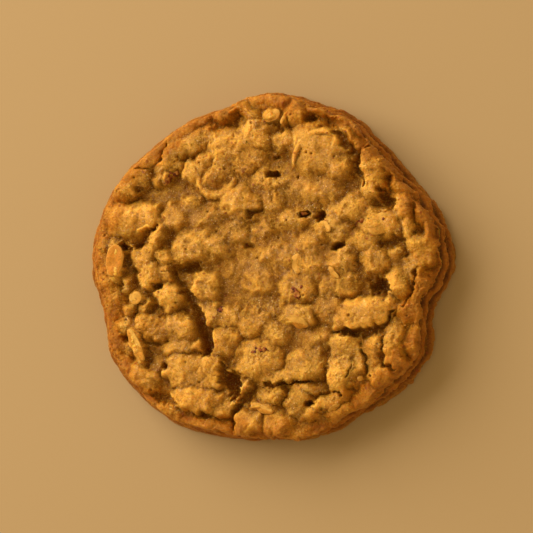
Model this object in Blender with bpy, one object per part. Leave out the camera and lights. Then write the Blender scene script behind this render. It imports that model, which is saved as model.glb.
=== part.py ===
"""An oatmeal pecan cookie, lying on its flat baked underside with its craggy top up.

The cookie is one solid. A square sheet of faces is drawn into a round one, its edge is drawn down
to the tray as the side wall, and the foot is closed. The top's height comes from the clumps of
oats, nuts and dough in the tables below, which run into each other, and from the pits and clefts
cut down between them. The side wall leans in over a lip and has two rolled layers.

Frame: +Z up, X to the cookie's right and Y to its far side as seen from above, the origin on the
underside at the middle of the cookie's box. Lengths in the tables are millimetres.
"""

import math

import bmesh
import bpy
import numpy as np
from mathutils import Matrix, Vector

MM = 0.001

# Driving dimensions
SHEET = 154  # faces along each side of the sheet
ROWS = 13  # rows of faces down the side wall
TRIANGLES = 11300
SUNK = 0.8  # how far the foot reaches below the tray before it is cut flat

# Round the cookie, anticlockwise from +X: the base outline's radius, the height of the side wall's
# top, how far the wall leans in on its way up, and how strongly its grooves show
OUTLINE_RADII = (
    42.3, 41.0, 37.8, 37.5, 38.4, 38.2, 39.2, 37.6, 38.4, 39.2, 41.2, 42.5,
    43.0, 41.5, 43.4, 43.2, 42.7, 40.8, 39.8, 40.5, 40.0, 40.8, 42.0, 38.9,
)  # fmt: skip
RIM_HEIGHTS = (9.6, 9.2, 9.0, 8.8, 9.0, 9.2, 9.0, 9.0, 8.0, 9.4, 8.4, 9.2)
WALL_LEANS = (1.9, 1.4, 0.9, 1.2, 2.4, 3.2, 3.4, 3.0, 2.0, 0.6, 0.8, 1.5)
WALL_GROOVES = (1.2, 1.1, 0.9, 0.5, 0.3, 0.3, 0.4, 0.3, 0.4, 0.7, 0.9, 1.1)
WALL_ROUGHNESS = (1.0, 1.0, 0.8, 0.6, 0.4, 0.4, 0.6, 0.6, 0.6, 0.7, 0.9, 1.0)

# Up the side wall, heights and insets: the lip, a groove, a rolled layer, a groove, a layer
WALL = (
    (0.0, 0.7), (1.2, 0.0), (2.4, 0.1), (3.3, 1.5), (5.0, 0.2),
    (6.4, 0.4), (7.2, 1.9), (8.6, 0.3), (10.0, 0.4),
)  # fmt: skip

# The top's height where nothing stands on it, and how widely neighbours run into each other, both
# for the whole top and for its moist middle
FLOOR = 9.3
BLEND = 0.22
MOIST_BLEND = 0.50
MOIST = (4.0, 6.0, 27.0, 23.0)  # the middle, where clumps run together: its place and half sizes

# How ragged and rough the dough is: the grain, swing and seed of each unevenness, and its slopes
WARPS = ((4.6, 1.2, 1), (1.9, 0.9, 2), (0.85, 0.3, 3))  # ragged edges: grain, swing and seed
SWELLS = ((5.5, 1.3, 7), (2.6, 0.4, 31))  # the unevenness all over the top
MOIST_SWELLS = ((1.7, 0.45, 32), (0.8, 0.2, 33))  # and in its moist middle
DOMING = 0.46  # how far a clump's edge lies below its top, as a share of its half width
EDGE_SLOPE = 2.5  # how steeply it falls away past its edge
MOIST_EDGE_SLOPE = 1.3
RIDGE_SLOPE = 2.5
CUT_SLOPE = 3.5  # how steep the walls of pits and clefts are
RIM_ROUND = 1.5  # how far in the top's rounded edge reaches
CRUMB_GRAIN = 3.4
CRUMB_SWING = 0.7

# The low swells that the floor is raised to: x, y, half length, half width, height
MOUNDS = (
    (4.0, 1.0, 19.0, 11.0, 11.5),
    (12.0, 16.0, 8.0, 7.0, 11.6),
    (-4.0, 21.0, 9.0, 8.0, 11.0),
    (4.0, -14.0, 14.0, 8.0, 11.0),
    (-12.0, 8.0, 8.0, 5.0, 11.0),
)

# The clumps of oats, nuts and dough in the top, and the rolls of dough along its rim:
# x, y, half length, half width, turn in degrees, height of the top
CLUMPS = (
    # Far left: the smooth roll along the rim and the pillow below it
    (-28.4, 23.2, 3.8, 2.2, 44, 11.3),
    (-23.0, 27.4, 4.6, 2.1, 38, 11.7),
    (-16.8, 31.0, 4.8, 2.2, 26, 11.4),
    (-21.2, 24.0, 4.8, 2.0, 48, 12.0),
    (-14.6, 27.6, 4.6, 2.6, 25, 12.3),
    (-31.0, 18.2, 5.0, 3.1, 36, 12.4),
    (-24.2, 19.2, 1.8, 1.4, 20, 11.5),
    (-21.7, 19.4, 1.4, 1.1, 60, 11.7),
    (-19.8, 22.0, 1.5, 1.4, 0, 11.6),
    (-16.2, 20.6, 2.1, 2.7, 20, 12.7),
    (-13.4, 22.6, 2.5, 1.7, 52, 12.9),
    (-10.4, 19.2, 2.6, 2.0, 12, 13.1),
    (-10.2, 18.6, 5.0, 4.2, 10, 12.3),
    (-9.2, 21.8, 2.5, 2.2, 0, 12.5),
    # Left: the crumbly clump, two round ones and the two-pronged ridge
    (-31.8, 9.8, 4.9, 4.5, 0, 12.6),
    (-27.0, 10.8, 3.6, 3.1, -20, 12.7),
    (-36.2, 10.4, 1.9, 3.4, -15, 11.0),
    (-37.0, 5.6, 2.2, 3.6, 0, 10.5),
    (-37.6, 1.2, 1.8, 3.0, 5, 10.2),
    (-19.6, 10.4, 3.5, 3.5, 0, 12.8),
    (-16.2, 13.4, 2.2, 2.1, 0, 12.4),
    (-31.0, 3.8, 0.9, 1.1, 0, 10.8),
    (-24.6, 5.4, 3.5, 1.5, 62, 13.3),
    (-26.6, 1.6, 3.1, 2.6, 60, 13.1),
    (-29.2, 1.6, 1.5, 2.4, 0, 11.4),
    (-22.3, 1.4, 2.7, 1.9, -30, 12.7),
    (-25.6, -2.6, 2.8, 2.3, 40, 13.1),
    (-22.4, -2.2, 1.7, 1.7, 0, 12.5),
    (-34.0, 0.6, 4.2, 2.3, 85, 12.4),
    (-36.6, -3.4, 1.9, 3.6, 10, 11.2),
    (-28.9, -7.9, 2.0, 1.6, 0, 12.5),
    (-27.0, -9.6, 1.5, 1.1, 45, 12.1),
    (-31.6, -4.8, 1.3, 2.3, -10, 11.5),
    (-31.0, -10.2, 1.5, 1.3, 0, 11.5),
    (-21.6, -7.6, 3.0, 3.4, 10, 13.0),
    (-34.8, -8.4, 2.5, 4.0, 12, 11.4),
    # Near left: clumps between the long cleft and the rim
    (-32.0, -13.4, 2.3, 2.3, 40, 12.0),
    (-33.6, -18.0, 1.7, 4.6, 6, 10.9),
    (-30.9, -19.0, 1.3, 1.9, 0, 11.3),
    (-28.7, -18.4, 4.0, 1.3, -65, 12.7),
    (-25.4, -14.3, 4.1, 2.9, -25, 12.8),
    (-18.8, -14.6, 3.9, 3.7, -20, 13.2),
    (-18.4, -18.7, 4.1, 1.4, 8, 12.9),
    (-18.0, -23.8, 4.9, 3.9, -10, 13.5),
    (-12.6, -24.4, 4.2, 4.2, 10, 13.3),
    (-15.4, -30.4, 5.3, 2.9, -8, 13.1),
    (-10.0, -32.6, 3.5, 2.1, 5, 11.5),
    (-27.6, -25.4, 4.0, 3.1, -25, 11.9),
    (-24.4, -22.2, 2.0, 2.0, 0, 10.6),
    (-21.6, -33.0, 2.7, 1.5, -38, 10.4),
    (-32.0, -22.8, 1.7, 3.0, 30, 10.6),
    (-5.0, -29.4, 2.9, 0.9, 58, 12.1),
    (-13.0, -36.2, 5.5, 1.8, -12, 10.5),
    (-3.6, -35.4, 3.6, 3.0, 0, 11.5),
    (3.6, -35.6, 4.0, 2.9, 0, 11.5),
    # Left of the middle: the bright clumps beside the cleft
    (-15.6, 3.7, 4.8, 3.3, 8, 13.4),
    (-10.0, 3.6, 2.9, 3.1, 0, 12.9),
    (-12.6, 10.6, 4.6, 3.6, 15, 12.3),
    (-6.4, 7.0, 3.5, 2.7, 0, 12.3),
    (-5.0, 13.8, 4.6, 3.7, -20, 14.0),
    (-12.8, -5.4, 3.6, 3.6, -10, 13.5),
    (-11.6, -11.2, 2.8, 2.1, -40, 12.5),
    (-8.8, -17.6, 3.7, 3.5, 0, 13.2),
    (-7.4, -12.0, 2.7, 2.7, 0, 12.4),
    # Far side: the porous clump, the flakes behind it and the domed rim
    (-7.4, 26.4, 5.6, 3.9, 10, 13.0),
    (-1.8, 28.6, 4.1, 3.7, -10, 13.2),
    (-3.0, 22.6, 4.2, 2.6, 20, 12.3),
    (-3.6, 34.0, 3.7, 1.4, -38, 12.0),
    (-8.8, 33.4, 2.6, 1.6, 25, 11.6),
    (1.6, 36.4, 5.8, 2.2, -2, 10.8),
    (2.4, 32.6, 1.9, 1.3, 20, 12.1),
    (5.6, 32.6, 2.1, 0.7, 62, 12.3),
    (8.3, 32.8, 2.0, 3.5, 8, 12.9),
    (5.6, 27.2, 3.1, 2.3, -20, 12.5),
    (9.2, 28.4, 1.8, 1.6, 0, 12.5),
    (13.2, 34.0, 3.6, 1.8, -15, 11.4),
    # Far right: the big oat clump, the slot beside it and the bright clump past the slot
    (13.2, 25.2, 6.0, 5.4, -20, 14.2),
    (12.0, 22.4, 4.2, 3.6, 0, 13.9),
    (17.5, 21.2, 2.5, 2.8, 15, 14.0),
    (13.6, 16.4, 5.2, 4.0, -5, 13.0),
    (22.6, 30.6, 3.0, 2.5, -40, 11.3),
    (18.0, 33.0, 3.2, 1.6, -25, 11.0),
    (26.8, 27.0, 2.5, 1.9, -35, 11.3),
    (20.8, 27.6, 2.8, 0.8, -52, 11.7),
    (25.2, 21.6, 3.2, 3.9, 0, 13.7),
    (25.4, 17.0, 2.7, 2.4, 0, 12.9),
    (28.8, 22.4, 1.9, 2.7, 10, 12.4),
    (31.8, 17.4, 2.2, 2.6, 20, 11.9),
    (32.4, 12.4, 2.5, 2.8, 0, 12.9),
    (33.5, 7.8, 1.4, 2.7, 0, 12.7),
    (36.5, 11.4, 1.6, 3.6, 12, 11.7),
    (36.3, 2.8, 3.1, 3.6, 0, 12.5),
    (27.0, 8.6, 4.4, 3.2, -8, 13.4),
    (20.4, 12.0, 4.6, 2.9, 10, 13.0),
    (23.4, 4.4, 3.7, 2.3, 0, 12.8),
    # Middle: low clumps that run together
    (6.8, 9.2, 3.4, 3.1, -10, 13.0),
    (2.6, 13.4, 2.7, 3.0, 0, 12.5),
    (1.2, 17.4, 4.2, 3.4, 15, 12.1),
    (3.2, 1.0, 6.2, 4.4, 0, 12.0),
    (-0.6, -4.4, 4.2, 2.7, 10, 12.4),
    (16.0, 7.4, 3.9, 3.1, -25, 13.1),
    (18.2, 0.2, 3.1, 3.1, 0, 13.2),
    (10.8, 4.4, 3.4, 2.4, 10, 12.3),
    (11.6, -1.2, 3.6, 3.1, 0, 12.1),
    (26.0, 0.6, 3.0, 2.8, 0, 12.7),
    (6.2, -6.2, 2.0, 3.4, -15, 12.9),
    (9.6, -6.2, 2.3, 2.8, 0, 12.5),
    (8.4, -12.0, 3.5, 2.8, -12, 13.3),
    (14.8, -10.6, 3.9, 3.2, 0, 12.4),
    (19.0, -5.2, 3.1, 2.7, 0, 12.7),
    (15.2, -5.4, 2.0, 2.6, 0, 12.4),
    (-1.8, -13.8, 4.2, 3.2, 10, 12.7),
    (3.4, -15.8, 3.5, 2.9, 0, 12.8),
    (-0.6, -21.8, 5.5, 5.0, -20, 13.8),
    (13.0, -16.8, 3.9, 2.9, 20, 12.3),
    (1.0, 8.0, 3.5, 2.7, 0, 12.0),
    # Near right: the long smooth finger and the lobes beside and below it
    (23.6, -11.4, 6.3, 3.4, 14, 14.3),
    (30.6, -4.4, 2.5, 3.7, 0, 12.3),
    (33.6, -1.8, 2.2, 2.9, 0, 12.3),
    (30.2, 1.2, 1.7, 2.0, 0, 11.5),
    (33.0, -11.4, 2.2, 3.2, -5, 12.2),
    (36.2, -4.6, 1.1, 4.8, -2, 11.7),
    (35.7, -11.0, 1.1, 4.0, 2, 11.5),
    (30.0, -18.6, 2.6, 5.2, 3, 13.1),
    (35.0, -17.4, 2.8, 3.4, -30, 11.9),
    (25.2, -19.6, 2.3, 4.1, -6, 12.3),
    (18.2, -24.4, 2.9, 4.8, -8, 14.0),
    (19.0, -18.8, 3.5, 2.9, -10, 13.6),
    (22.2, -21.4, 1.6, 3.8, -8, 13.0),
    (10.2, -22.4, 5.1, 3.7, 12, 13.3),
    (4.8, -25.2, 4.2, 1.4, 14, 12.9),
    (27.2, -25.4, 3.1, 2.9, 0, 12.3),
    (32.4, -24.6, 3.1, 2.3, 50, 10.6),
    (2.0, -29.6, 3.0, 2.6, 0, 12.1),
    (0.3, -32.3, 2.5, 0.9, -20, 12.2),
    (8.4, -30.6, 2.9, 3.3, 0, 12.3),
    (10.6, -28.0, 2.6, 1.2, 0, 11.8),
    (15.4, -30.6, 4.0, 1.6, 22, 12.4),
    (17.8, -33.4, 3.4, 2.7, 0, 11.3),
    (11.0, -33.8, 2.2, 1.5, 0, 11.5),
    (23.8, -29.8, 4.6, 2.7, 28, 10.5),
)

# The pits: x, y, half length, half width, turn in degrees, height of the bottom
PITS = (
    (-17.2, -1.1, 2.6, 0.9, 5, 7.2),
    (-7.1, -27.0, 2.5, 1.4, -70, 5.5),
    (-23.4, -30.2, 2.7, 1.2, -25, 7.6),
    (-32.2, 4.0, 0.9, 0.7, -20, 7.8),
    (-28.9, 4.3, 1.0, 0.8, 0, 7.4),
    (-30.0, -1.6, 1.2, 0.8, -30, 8.6),
    (-31.7, -16.6, 1.0, 0.6, 0, 8.0),
    (-24.0, -5.1, 0.8, 0.7, 0, 8.6),
    (-24.6, -18.2, 1.4, 0.6, 0, 8.8),
    (-22.9, -22.9, 0.6, 0.7, 0, 8.8),
    (-19.5, 19.8, 0.6, 0.6, 0, 9.6),
    (2.7, 19.6, 1.1, 0.6, 0, 7.5),
    (3.1, 23.9, 0.8, 0.5, 10, 8.0),
    (4.9, 22.7, 0.9, 0.8, 0, 9.4),
    (8.2, 18.9, 0.3, 0.6, 0, 9.6),
    (13.4, 10.3, 1.1, 0.8, 20, 7.5),
    (10.0, 10.7, 0.9, 0.6, 0, 8.8),
    (17.3, 3.5, 1.2, 0.6, 15, 7.5),
    (-2.9, 3.8, 1.3, 0.7, 0, 9.6),
    (28.4, 13.8, 1.9, 1.2, -60, 7.4),
    (11.3, 32.0, 1.1, 0.8, 20, 8.4),
    (26.6, -5.4, 1.7, 1.4, -20, 5.6),
    (24.6, -4.0, 1.3, 1.0, 0, 8.6),
    (10.8, -31.5, 0.8, 0.6, 0, 8.4),
)

# The clefts and cracks, each a chain of points: x, y, half width, height of the bottom
CLEFTS = (
    # The long cleft on the left, and the crack that runs from its foot round the near hole
    ((-20.6, -1.8, 0.6, 8.6), (-19.0, -4.6, 0.7, 8.2), (-17.0, -8.0, 0.9, 7.4), (-15.0, -11.6, 1.1, 6.6),
     (-13.2, -14.8, 1.2, 6.0), (-12.7, -17.8, 0.9, 6.2), (-13.4, -20.4, 0.7, 7.2)),
    ((-9.4, -22.2, 0.3, 9.6), (-8.4, -24.2, 0.4, 8.0), (-7.4, -26.0, 1.0, 6.0)),
    ((-17.6, -33.4, 0.3, 9.4), (-14.8, -33.8, 0.5, 8.1), (-11.6, -34.7, 0.3, 8.8), (-8.8, -35.1, 0.4, 8.1),
     (-6.6, -34.0, 0.5, 8.0), (-4.6, -31.8, 0.7, 8.0), (-3.0, -29.8, 1.0, 7.8), (-1.6, -27.8, 0.5, 8.8)),
    ((-7.6, -34.8, 0.5, 7.6), (-7.2, -36.8, 0.4, 7.4)),
    ((-20.2, -28.4, 0.2, 11.1), (-18.4, -27.5, 0.25, 11.3), (-15.0, -27.6, 0.2, 11.8)),
    ((0.8, -26.6, 0.35, 10.0), (5.8, -27.0, 0.5, 9.0), (11.6, -26.5, 0.35, 9.8)),
    # Far left: the valley behind the crumbly clump and the crease along the roll
    ((-28.9, 16.8, 0.6, 9.9), (-27.2, 15.6, 0.7, 9.7), (-21.0, 16.4, 0.8, 9.9), (-14.8, 16.6, 0.5, 10.4)),
    ((-29.4, 21.6, 0.2, 10.8), (-26.0, 21.5, 0.35, 10.1), (-24.0, 23.4, 0.35, 10.1),
     (-21.8, 26.4, 0.25, 10.9)),
    ((-28.2, 5.8, 0.35, 9.9), (-26.0, 7.4, 0.5, 9.5), (-24.2, 9.0, 0.4, 10.2)),
    ((-31.0, 3.8, 0.5, 9.2), (-31.1, 0.2, 0.7, 8.8), (-31.6, -2.6, 0.4, 9.9)),
    ((-26.6, -18.8, 0.5, 9.4), (-26.2, -21.0, 0.7, 9.0), (-26.6, -23.4, 0.4, 9.5)),
    ((-3.8, 10.0, 0.4, 10.6), (-2.0, 10.7, 0.5, 9.7), (-0.6, 11.6, 0.5, 10.1)),
    # Far right: the slot between the two biggest clumps, and the gaps past it
    ((16.8, 29.6, 0.4, 10.4), (19.2, 26.8, 0.7, 9.2), (21.1, 23.6, 1.0, 8.2), (21.9, 20.2, 0.7, 8.8),
     (23.2, 16.8, 0.3, 10.2)),
    ((2.4, 30.6, 0.4, 9.7), (5.2, 29.4, 0.5, 9.0)),
    ((23.8, 25.4, 0.3, 10.1), (26.6, 26.2, 0.4, 9.5)),
    ((27.0, 4.2, 0.6, 9.5), (29.6, 4.6, 0.9, 8.8), (32.6, 4.6, 0.5, 9.5), (32.8, 1.4, 0.5, 9.2)),
    ((34.6, 13.4, 0.35, 10.6), (34.9, 9.8, 0.35, 10.4), (35.4, 6.6, 0.5, 9.9)),
    # Near right: the shadowed gaps round the finger and the lobes
    ((17.4, -15.0, 0.3, 10.1), (20.2, -15.8, 0.8, 8.1), (24.0, -15.5, 0.6, 8.8), (27.6, -14.2, 0.5, 9.4),
     (29.8, -11.2, 0.3, 9.9)),
    ((35.2, -1.8, 0.4, 10.1), (34.4, -4.8, 0.5, 9.5), (33.0, -7.8, 0.5, 9.7), (31.8, -10.0, 0.35, 10.6)),
    ((27.4, -14.6, 0.4, 10.1), (27.3, -19.0, 0.35, 10.8), (27.8, -22.6, 0.6, 9.5), (30.4, -23.8, 0.4, 10.1)),
    ((22.6, -16.4, 0.3, 10.9), (23.4, -20.0, 0.35, 10.9), (23.8, -23.8, 0.6, 9.9)),
    ((20.5, -21.4, 0.35, 12.0), (20.3, -25.2, 0.35, 11.8)),
    ((14.6, -20.6, 0.35, 11.5), (14.4, -24.4, 0.4, 10.6), (12.6, -27.0, 0.4, 10.1)),
    ((14.2, -28.4, 0.2, 10.8), (18.6, -28.8, 0.3, 10.6)),
    ((32.2, -14.6, 0.3, 10.2), (33.6, -13.9, 0.3, 10.2)),
)

# The thin rolled edges that stand up, of flakes and of the rim: polylines of x, y, half width, crest
RIDGES = (
    # The curled flake, the edges of the big flake and the roll along the far left rim
    ((-14.4, 19.4, 0.6, 12.2), (-14.0, 17.2, 0.9, 12.9), (-12.0, 15.6, 1.0, 13.3), (-9.2, 15.2, 0.9, 13.4),
     (-7.0, 16.4, 0.9, 13.3), (-6.2, 18.4, 0.6, 12.7)),
    ((7.8, 21.6, 0.4, 13.4), (8.0, 24.2, 0.5, 14.1), (9.4, 26.8, 0.5, 14.5), (11.8, 28.6, 0.5, 14.7),
     (14.6, 29.2, 0.5, 14.6), (17.0, 28.4, 0.4, 14.2)),
    ((-32.0, 19.6, 1.6, 10.8), (-27.8, 23.0, 2.2, 11.4), (-22.4, 27.0, 2.3, 11.8), (-17.0, 30.2, 2.0, 11.6)),
    # Smaller flakes' edges: behind the middle, in the middle and on the near clumps
    ((-7.2, 33.8, 0.35, 12.6), (-5.2, 34.9, 0.4, 12.8), (-3.0, 34.0, 0.4, 12.9), (-1.6, 32.6, 0.3, 12.7)),
    ((8.6, -9.8, 0.6, 13.4), (10.8, -10.8, 0.9, 13.8), (11.4, -13.0, 0.8, 13.7)),
    ((-28.6, 7.6, 0.4, 12.8), (-26.4, 8.6, 0.4, 12.9), (-24.8, 7.2, 0.4, 12.8), (-24.0, 5.6, 0.4, 12.6)),
    # The thin rolled edge of the near right and right rim
    ((34.6, 16.4, 0.7, 11.2), (37.2, 11.6, 0.7, 11.5), (37.6, 6.0, 0.7, 11.6), (36.8, 1.2, 0.8, 11.8),
     (35.2, -4.4, 0.8, 11.8), (34.4, -9.4, 0.8, 11.9), (35.6, -13.4, 0.9, 11.6), (37.2, -16.4, 0.8, 10.8)),
)

# Where the skin is smooth or crumbly: x, y, half length, half width, turn, roughness
SKINS = (
    (-24.0, 27.0, 14.0, 4.0, 38, 0.10),
    (-5.0, 13.8, 4.6, 3.8, -20, 0.40),
    (-19.6, 10.4, 4.0, 4.0, 0, 0.15),
    (4.0, 0.0, 14.0, 8.0, 0, 0.65),
    (12.6, 22.6, 7.0, 8.0, 0, 0.25),
    (23.6, -11.4, 7.0, 4.0, 14, 0.50),
    (1.5, 36.0, 6.0, 3.0, 0, 0.30),
    (-7.4, 26.4, 6.0, 4.5, 10, 1.20),
    (-30.0, 9.5, 6.0, 4.5, 0, 0.80),
    (-18.0, -16.0, 8.0, 4.5, 0, 1.00),
    (-15.0, -27.0, 8.0, 6.0, 0, 1.00),
    (-27.0, -24.0, 5.0, 5.0, 0, 0.90),
    (-4.0, -35.0, 12.0, 3.5, 0, 0.90),
    (26.0, -26.0, 9.0, 5.0, 30, 0.90),
)

# The thin rolled edges that stand up, of flakes and of the rim: polylines of x, y, half width, crest

# Where the skin is smooth or crumbly: x, y, half length, half width, turn, roughness

gradients = np.random.default_rng(5).uniform(0, math.tau, (256, 256))
slope_x, slope_y = np.cos(gradients), np.sin(gradients)


def swell(x, y, seed):
    """Smooth noise from about -0.7 to 0.7, in lumps one unit across."""
    x, y = x + 17.37 * seed, y + 41.19 * seed
    column, row = np.floor(x).astype(int), np.floor(y).astype(int)
    across, along = x - column, y - row
    ease_x = across**3 * (across * (across * 6 - 15) + 10)
    ease_y = along**3 * (along * (along * 6 - 15) + 10)

    def corner(i, j):
        place = (column + i) & 255, (row + j) & 255
        return slope_x[place] * (across - i) + slope_y[place] * (along - j)

    near = corner(0, 0) * (1 - ease_x) + corner(1, 0) * ease_x
    far = corner(0, 1) * (1 - ease_x) + corner(1, 1) * ease_x
    return near * (1 - ease_y) + far * ease_y


def crumbs(x, y, size, seed):
    """Rounded bumps with sharp creases between them, in three finer and finer sizes, 0 to about 1."""
    total = 0
    for step, share in enumerate((0.55, 0.3, 0.15)):
        grain = size / 1.9**step
        total = total + share * np.abs(swell(x / grain, y / grain, seed + step)) * 2
    return total


def soft_max(first, second, blend):
    return blend * np.logaddexp(first / blend, second / blend)


def soft_step(value, blend):
    """Rises from 0 with a slope of 1 once the value passes 0."""
    return blend * np.logaddexp(0, value / blend)


def round_curve(angle, values):
    """A smooth closed curve through values spaced evenly round the cookie."""
    values = np.array(values)
    place = (angle / math.tau * len(values)) % len(values)
    step = np.floor(place).astype(int)
    t = place - step
    before, here, after, beyond = (values[(step + k) % len(values)] for k in (-1, 0, 1, 2))
    bend = t * t * (3 - 2 * t)
    turn_in = (after - before) / 2 * t * (1 - t) ** 2
    turn_out = (beyond - here) / 2 * t * t * (1 - t)
    return here * (1 - bend) + after * bend + turn_in - turn_out


def layers(angle, height):
    """How far the side wall's grooves and rolled layers stand in from its lip."""
    around_x, around_y = 40 * np.cos(angle), 40 * np.sin(angle)
    lifted = height + 2.0 * swell(around_x / 13, around_y / 13, 20)
    lifted = lifted + 1.0 * swell(around_x / 4, around_y / 4, 22)
    return round_curve(angle, WALL_GROOVES) * np.interp(lifted, *zip(*WALL))


def wall(angle, height):
    """The side wall's radius at a height: its layers, its lean, and their knobs."""
    around_x, around_y = 40 * np.cos(angle), 40 * np.sin(angle)
    inset = layers(angle, height)
    inset = inset + round_curve(angle, WALL_LEANS) * np.clip(height / 10, 0, 1.2) ** 1.3
    knobs = swell(around_x / 4 + height / 3, around_y / 4 - height / 3, 21)
    grit = crumbs(around_x + height, around_y - height, 2.4, 24)
    rough = round_curve(angle, WALL_ROUGHNESS)
    return round_curve(angle, OUTLINE_RADII) - inset + rough * (1.1 * knobs + 0.8 * (grit - 0.4))


def oval(x, y, middle_x, middle_y, half_length, half_width, turn):
    """How far out each point lies in an oval: 0 at its middle, 1 at its edge."""
    cosine, sine = math.cos(math.radians(turn)), math.sin(math.radians(turn))
    x, y = x - middle_x, y - middle_y
    u = np.abs(x * cosine + y * sine) / half_length
    v = np.abs(y * cosine - x * sine) / half_width
    return (u**2.3 + v**2.3) ** (1 / 2.3)


def near_oval(x, y, row, margin):
    """The points round one row's oval, how far out they lie in it, and its smaller half size."""
    middle_x, middle_y, half_length, half_width, turn = row[:5]
    reach = max(half_length, half_width) + margin
    near = (np.abs(x - middle_x) < reach) & (np.abs(y - middle_y) < reach)
    out = oval(x[near], y[near], middle_x, middle_y, half_length, half_width, turn)
    return near, out, min(half_length, half_width)


def near_cleft(x, y, start, end):
    """The points beside one leg of a cleft, how far they are from its middle line, and where along."""
    ahead_x, ahead_y = end[0] - start[0], end[1] - start[1]
    reach = math.hypot(ahead_x, ahead_y) / 2 + 3
    near = (np.abs(x - (start[0] + end[0]) / 2) < reach) & (np.abs(y - (start[1] + end[1]) / 2) < reach)
    x, y = x[near] - start[0], y[near] - start[1]
    along = np.clip((x * ahead_x + y * ahead_y) / (ahead_x**2 + ahead_y**2), 0, 1)
    return near, np.hypot(x - along * ahead_x, y - along * ahead_y), along


def top_height(x, y, edge, rim_height):
    """The height of the top, where the point lies this far inside the top's edge."""
    uneven_x, uneven_y = x, y
    for grain, swing, seed in WARPS:
        along = (x * math.cos(seed) - y * math.sin(seed)) / grain
        across = (x * math.sin(seed) + y * math.cos(seed)) / grain
        uneven_x = uneven_x + swing * swell(along, across, seed)
        uneven_y = uneven_y + swing * swell(along, across, seed + 10)
    floor = FLOOR + 0.5 * swell(x / 6, y / 6, 5)
    for middle_x, middle_y, half_length, half_width, top in MOUNDS:
        out = np.hypot((x - middle_x) / half_length, (y - middle_y) / half_width)
        floor += (top - floor) * np.exp(-(out**3))
    moist_x, moist_y, moist_length, moist_width = MOIST
    moist = np.exp(-(np.hypot((x - moist_x) / moist_length, (y - moist_y) / moist_width) ** 4))
    blend = BLEND + (MOIST_BLEND - BLEND) * moist
    steep = EDGE_SLOPE + (MOIST_EDGE_SLOPE - EDGE_SLOPE) * moist
    high = np.exp((floor - 11) / blend)
    for row in CLUMPS:
        near, out, small = near_oval(uneven_x, uneven_y, row, 4)
        height = row[5] + 0.25 - DOMING * small * np.minimum(out, 1.3) ** 2.2
        height -= steep[near] * soft_step((out - 1) * small, 0.3)
        high[near] += np.exp((height - 11) / blend[near])
    height = 11 + blend * np.log(high)
    rim = rim_height + 5 * np.sqrt(np.clip(edge / RIM_ROUND, 0, 1))
    height = -soft_max(-height, -rim, 0.3)
    rough = np.clip(0.65 + 0.9 * swell(x / 7, y / 7, 6), 0.3, 1.2)
    for row in SKINS:
        near, out, small = near_oval(x, y, row, 3)
        rough[near] += (row[5] - rough[near]) * np.exp(-(out**4))
    for grain, swing, seed in SWELLS:
        height += swing * swell(x / grain, y / grain, seed)
    for grain, swing, seed in MOIST_SWELLS:
        height += moist * swing * swell(x / grain, y / grain, seed)
    height += CRUMB_SWING * rough * (crumbs(uneven_x, uneven_y, CRUMB_GRAIN, 8) - 0.4)
    for ridge in RIDGES:
        for start, end in zip(ridge, ridge[1:]):
            near, away, along = near_cleft(0.8 * x + 0.2 * uneven_x, 0.8 * y + 0.2 * uneven_y, start, end)
            half_width = start[2] + (end[2] - start[2]) * along
            crest = start[3] + (end[3] - start[3]) * along
            crest = crest - 0.5 * (away / half_width) ** 2 - RIDGE_SLOPE * soft_step(away - half_width, 0.15)
            crest = -soft_max(-crest, -rim[near], 0.3)
            height[near] = soft_max(height[near], crest, 0.15)
    for row in PITS:
        near, out, small = near_oval((x + uneven_x) / 2, (y + uneven_y) / 2, row, 3)
        out = out * (1 + 0.4 * swell(x[near] / 0.9, y[near] / 0.9, 34))
        depth = row[5] + out**2 + CUT_SLOPE * soft_step((out - 0.95) * small, 0.2)
        height[near] = -soft_max(-height[near], -depth, 0.15)
    for cleft in CLEFTS:
        for start, end in zip(cleft, cleft[1:]):
            near, away, along = near_cleft(uneven_x, uneven_y, start, end)
            half_width = start[2] + (end[2] - start[2]) * along
            bottom = start[3] + (end[3] - start[3]) * along
            away = away + 0.5 * swell(x[near] / 1.3, y[near] / 1.3, 35)
            depth = bottom + (away / half_width) ** 2 + CUT_SLOPE * soft_step(away - half_width, 0.25)
            height[near] = -soft_max(-height[near], -depth, 0.12)
    limit = rim_height - 0.3 * edge - 3 * np.maximum(edge - 3, 0)
    return np.maximum(height, limit)


def round_sheet(u, v):
    """A square sheet's points as a round one's: each point's angle, and how far out it is."""
    wide = np.abs(u) >= np.abs(v)
    ring = np.where(wide, u, v)
    part = np.where(wide, v, u) / np.where(ring == 0, 1, ring)
    angle = np.where(wide, part * math.pi / 4, math.pi / 2 - part * math.pi / 4)
    return np.where(ring < 0, angle + math.pi, angle), np.abs(ring)


def shape(u, v, row):
    """Where each point of the sheet belongs; the rows below the sheet's edge are the wall."""
    angle, ring = round_sheet(u, v)
    rim_height = round_curve(angle, RIM_HEIGHTS)
    edge_radius = wall(angle, rim_height)
    radius = ring * edge_radius
    x, y = radius * np.cos(angle), radius * np.sin(angle)
    height = top_height(x, y, edge_radius - radius, rim_height)
    wall_height = height - (height + SUNK) * row / ROWS
    bulged = edge_radius + wall(angle, wall_height) - wall(angle, height)
    radius = np.where(row > 0, bulged, radius)
    height = np.where(row > 0, wall_height, height)
    return np.stack([radius * np.cos(angle), radius * np.sin(angle), height], -1) * MM


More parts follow.
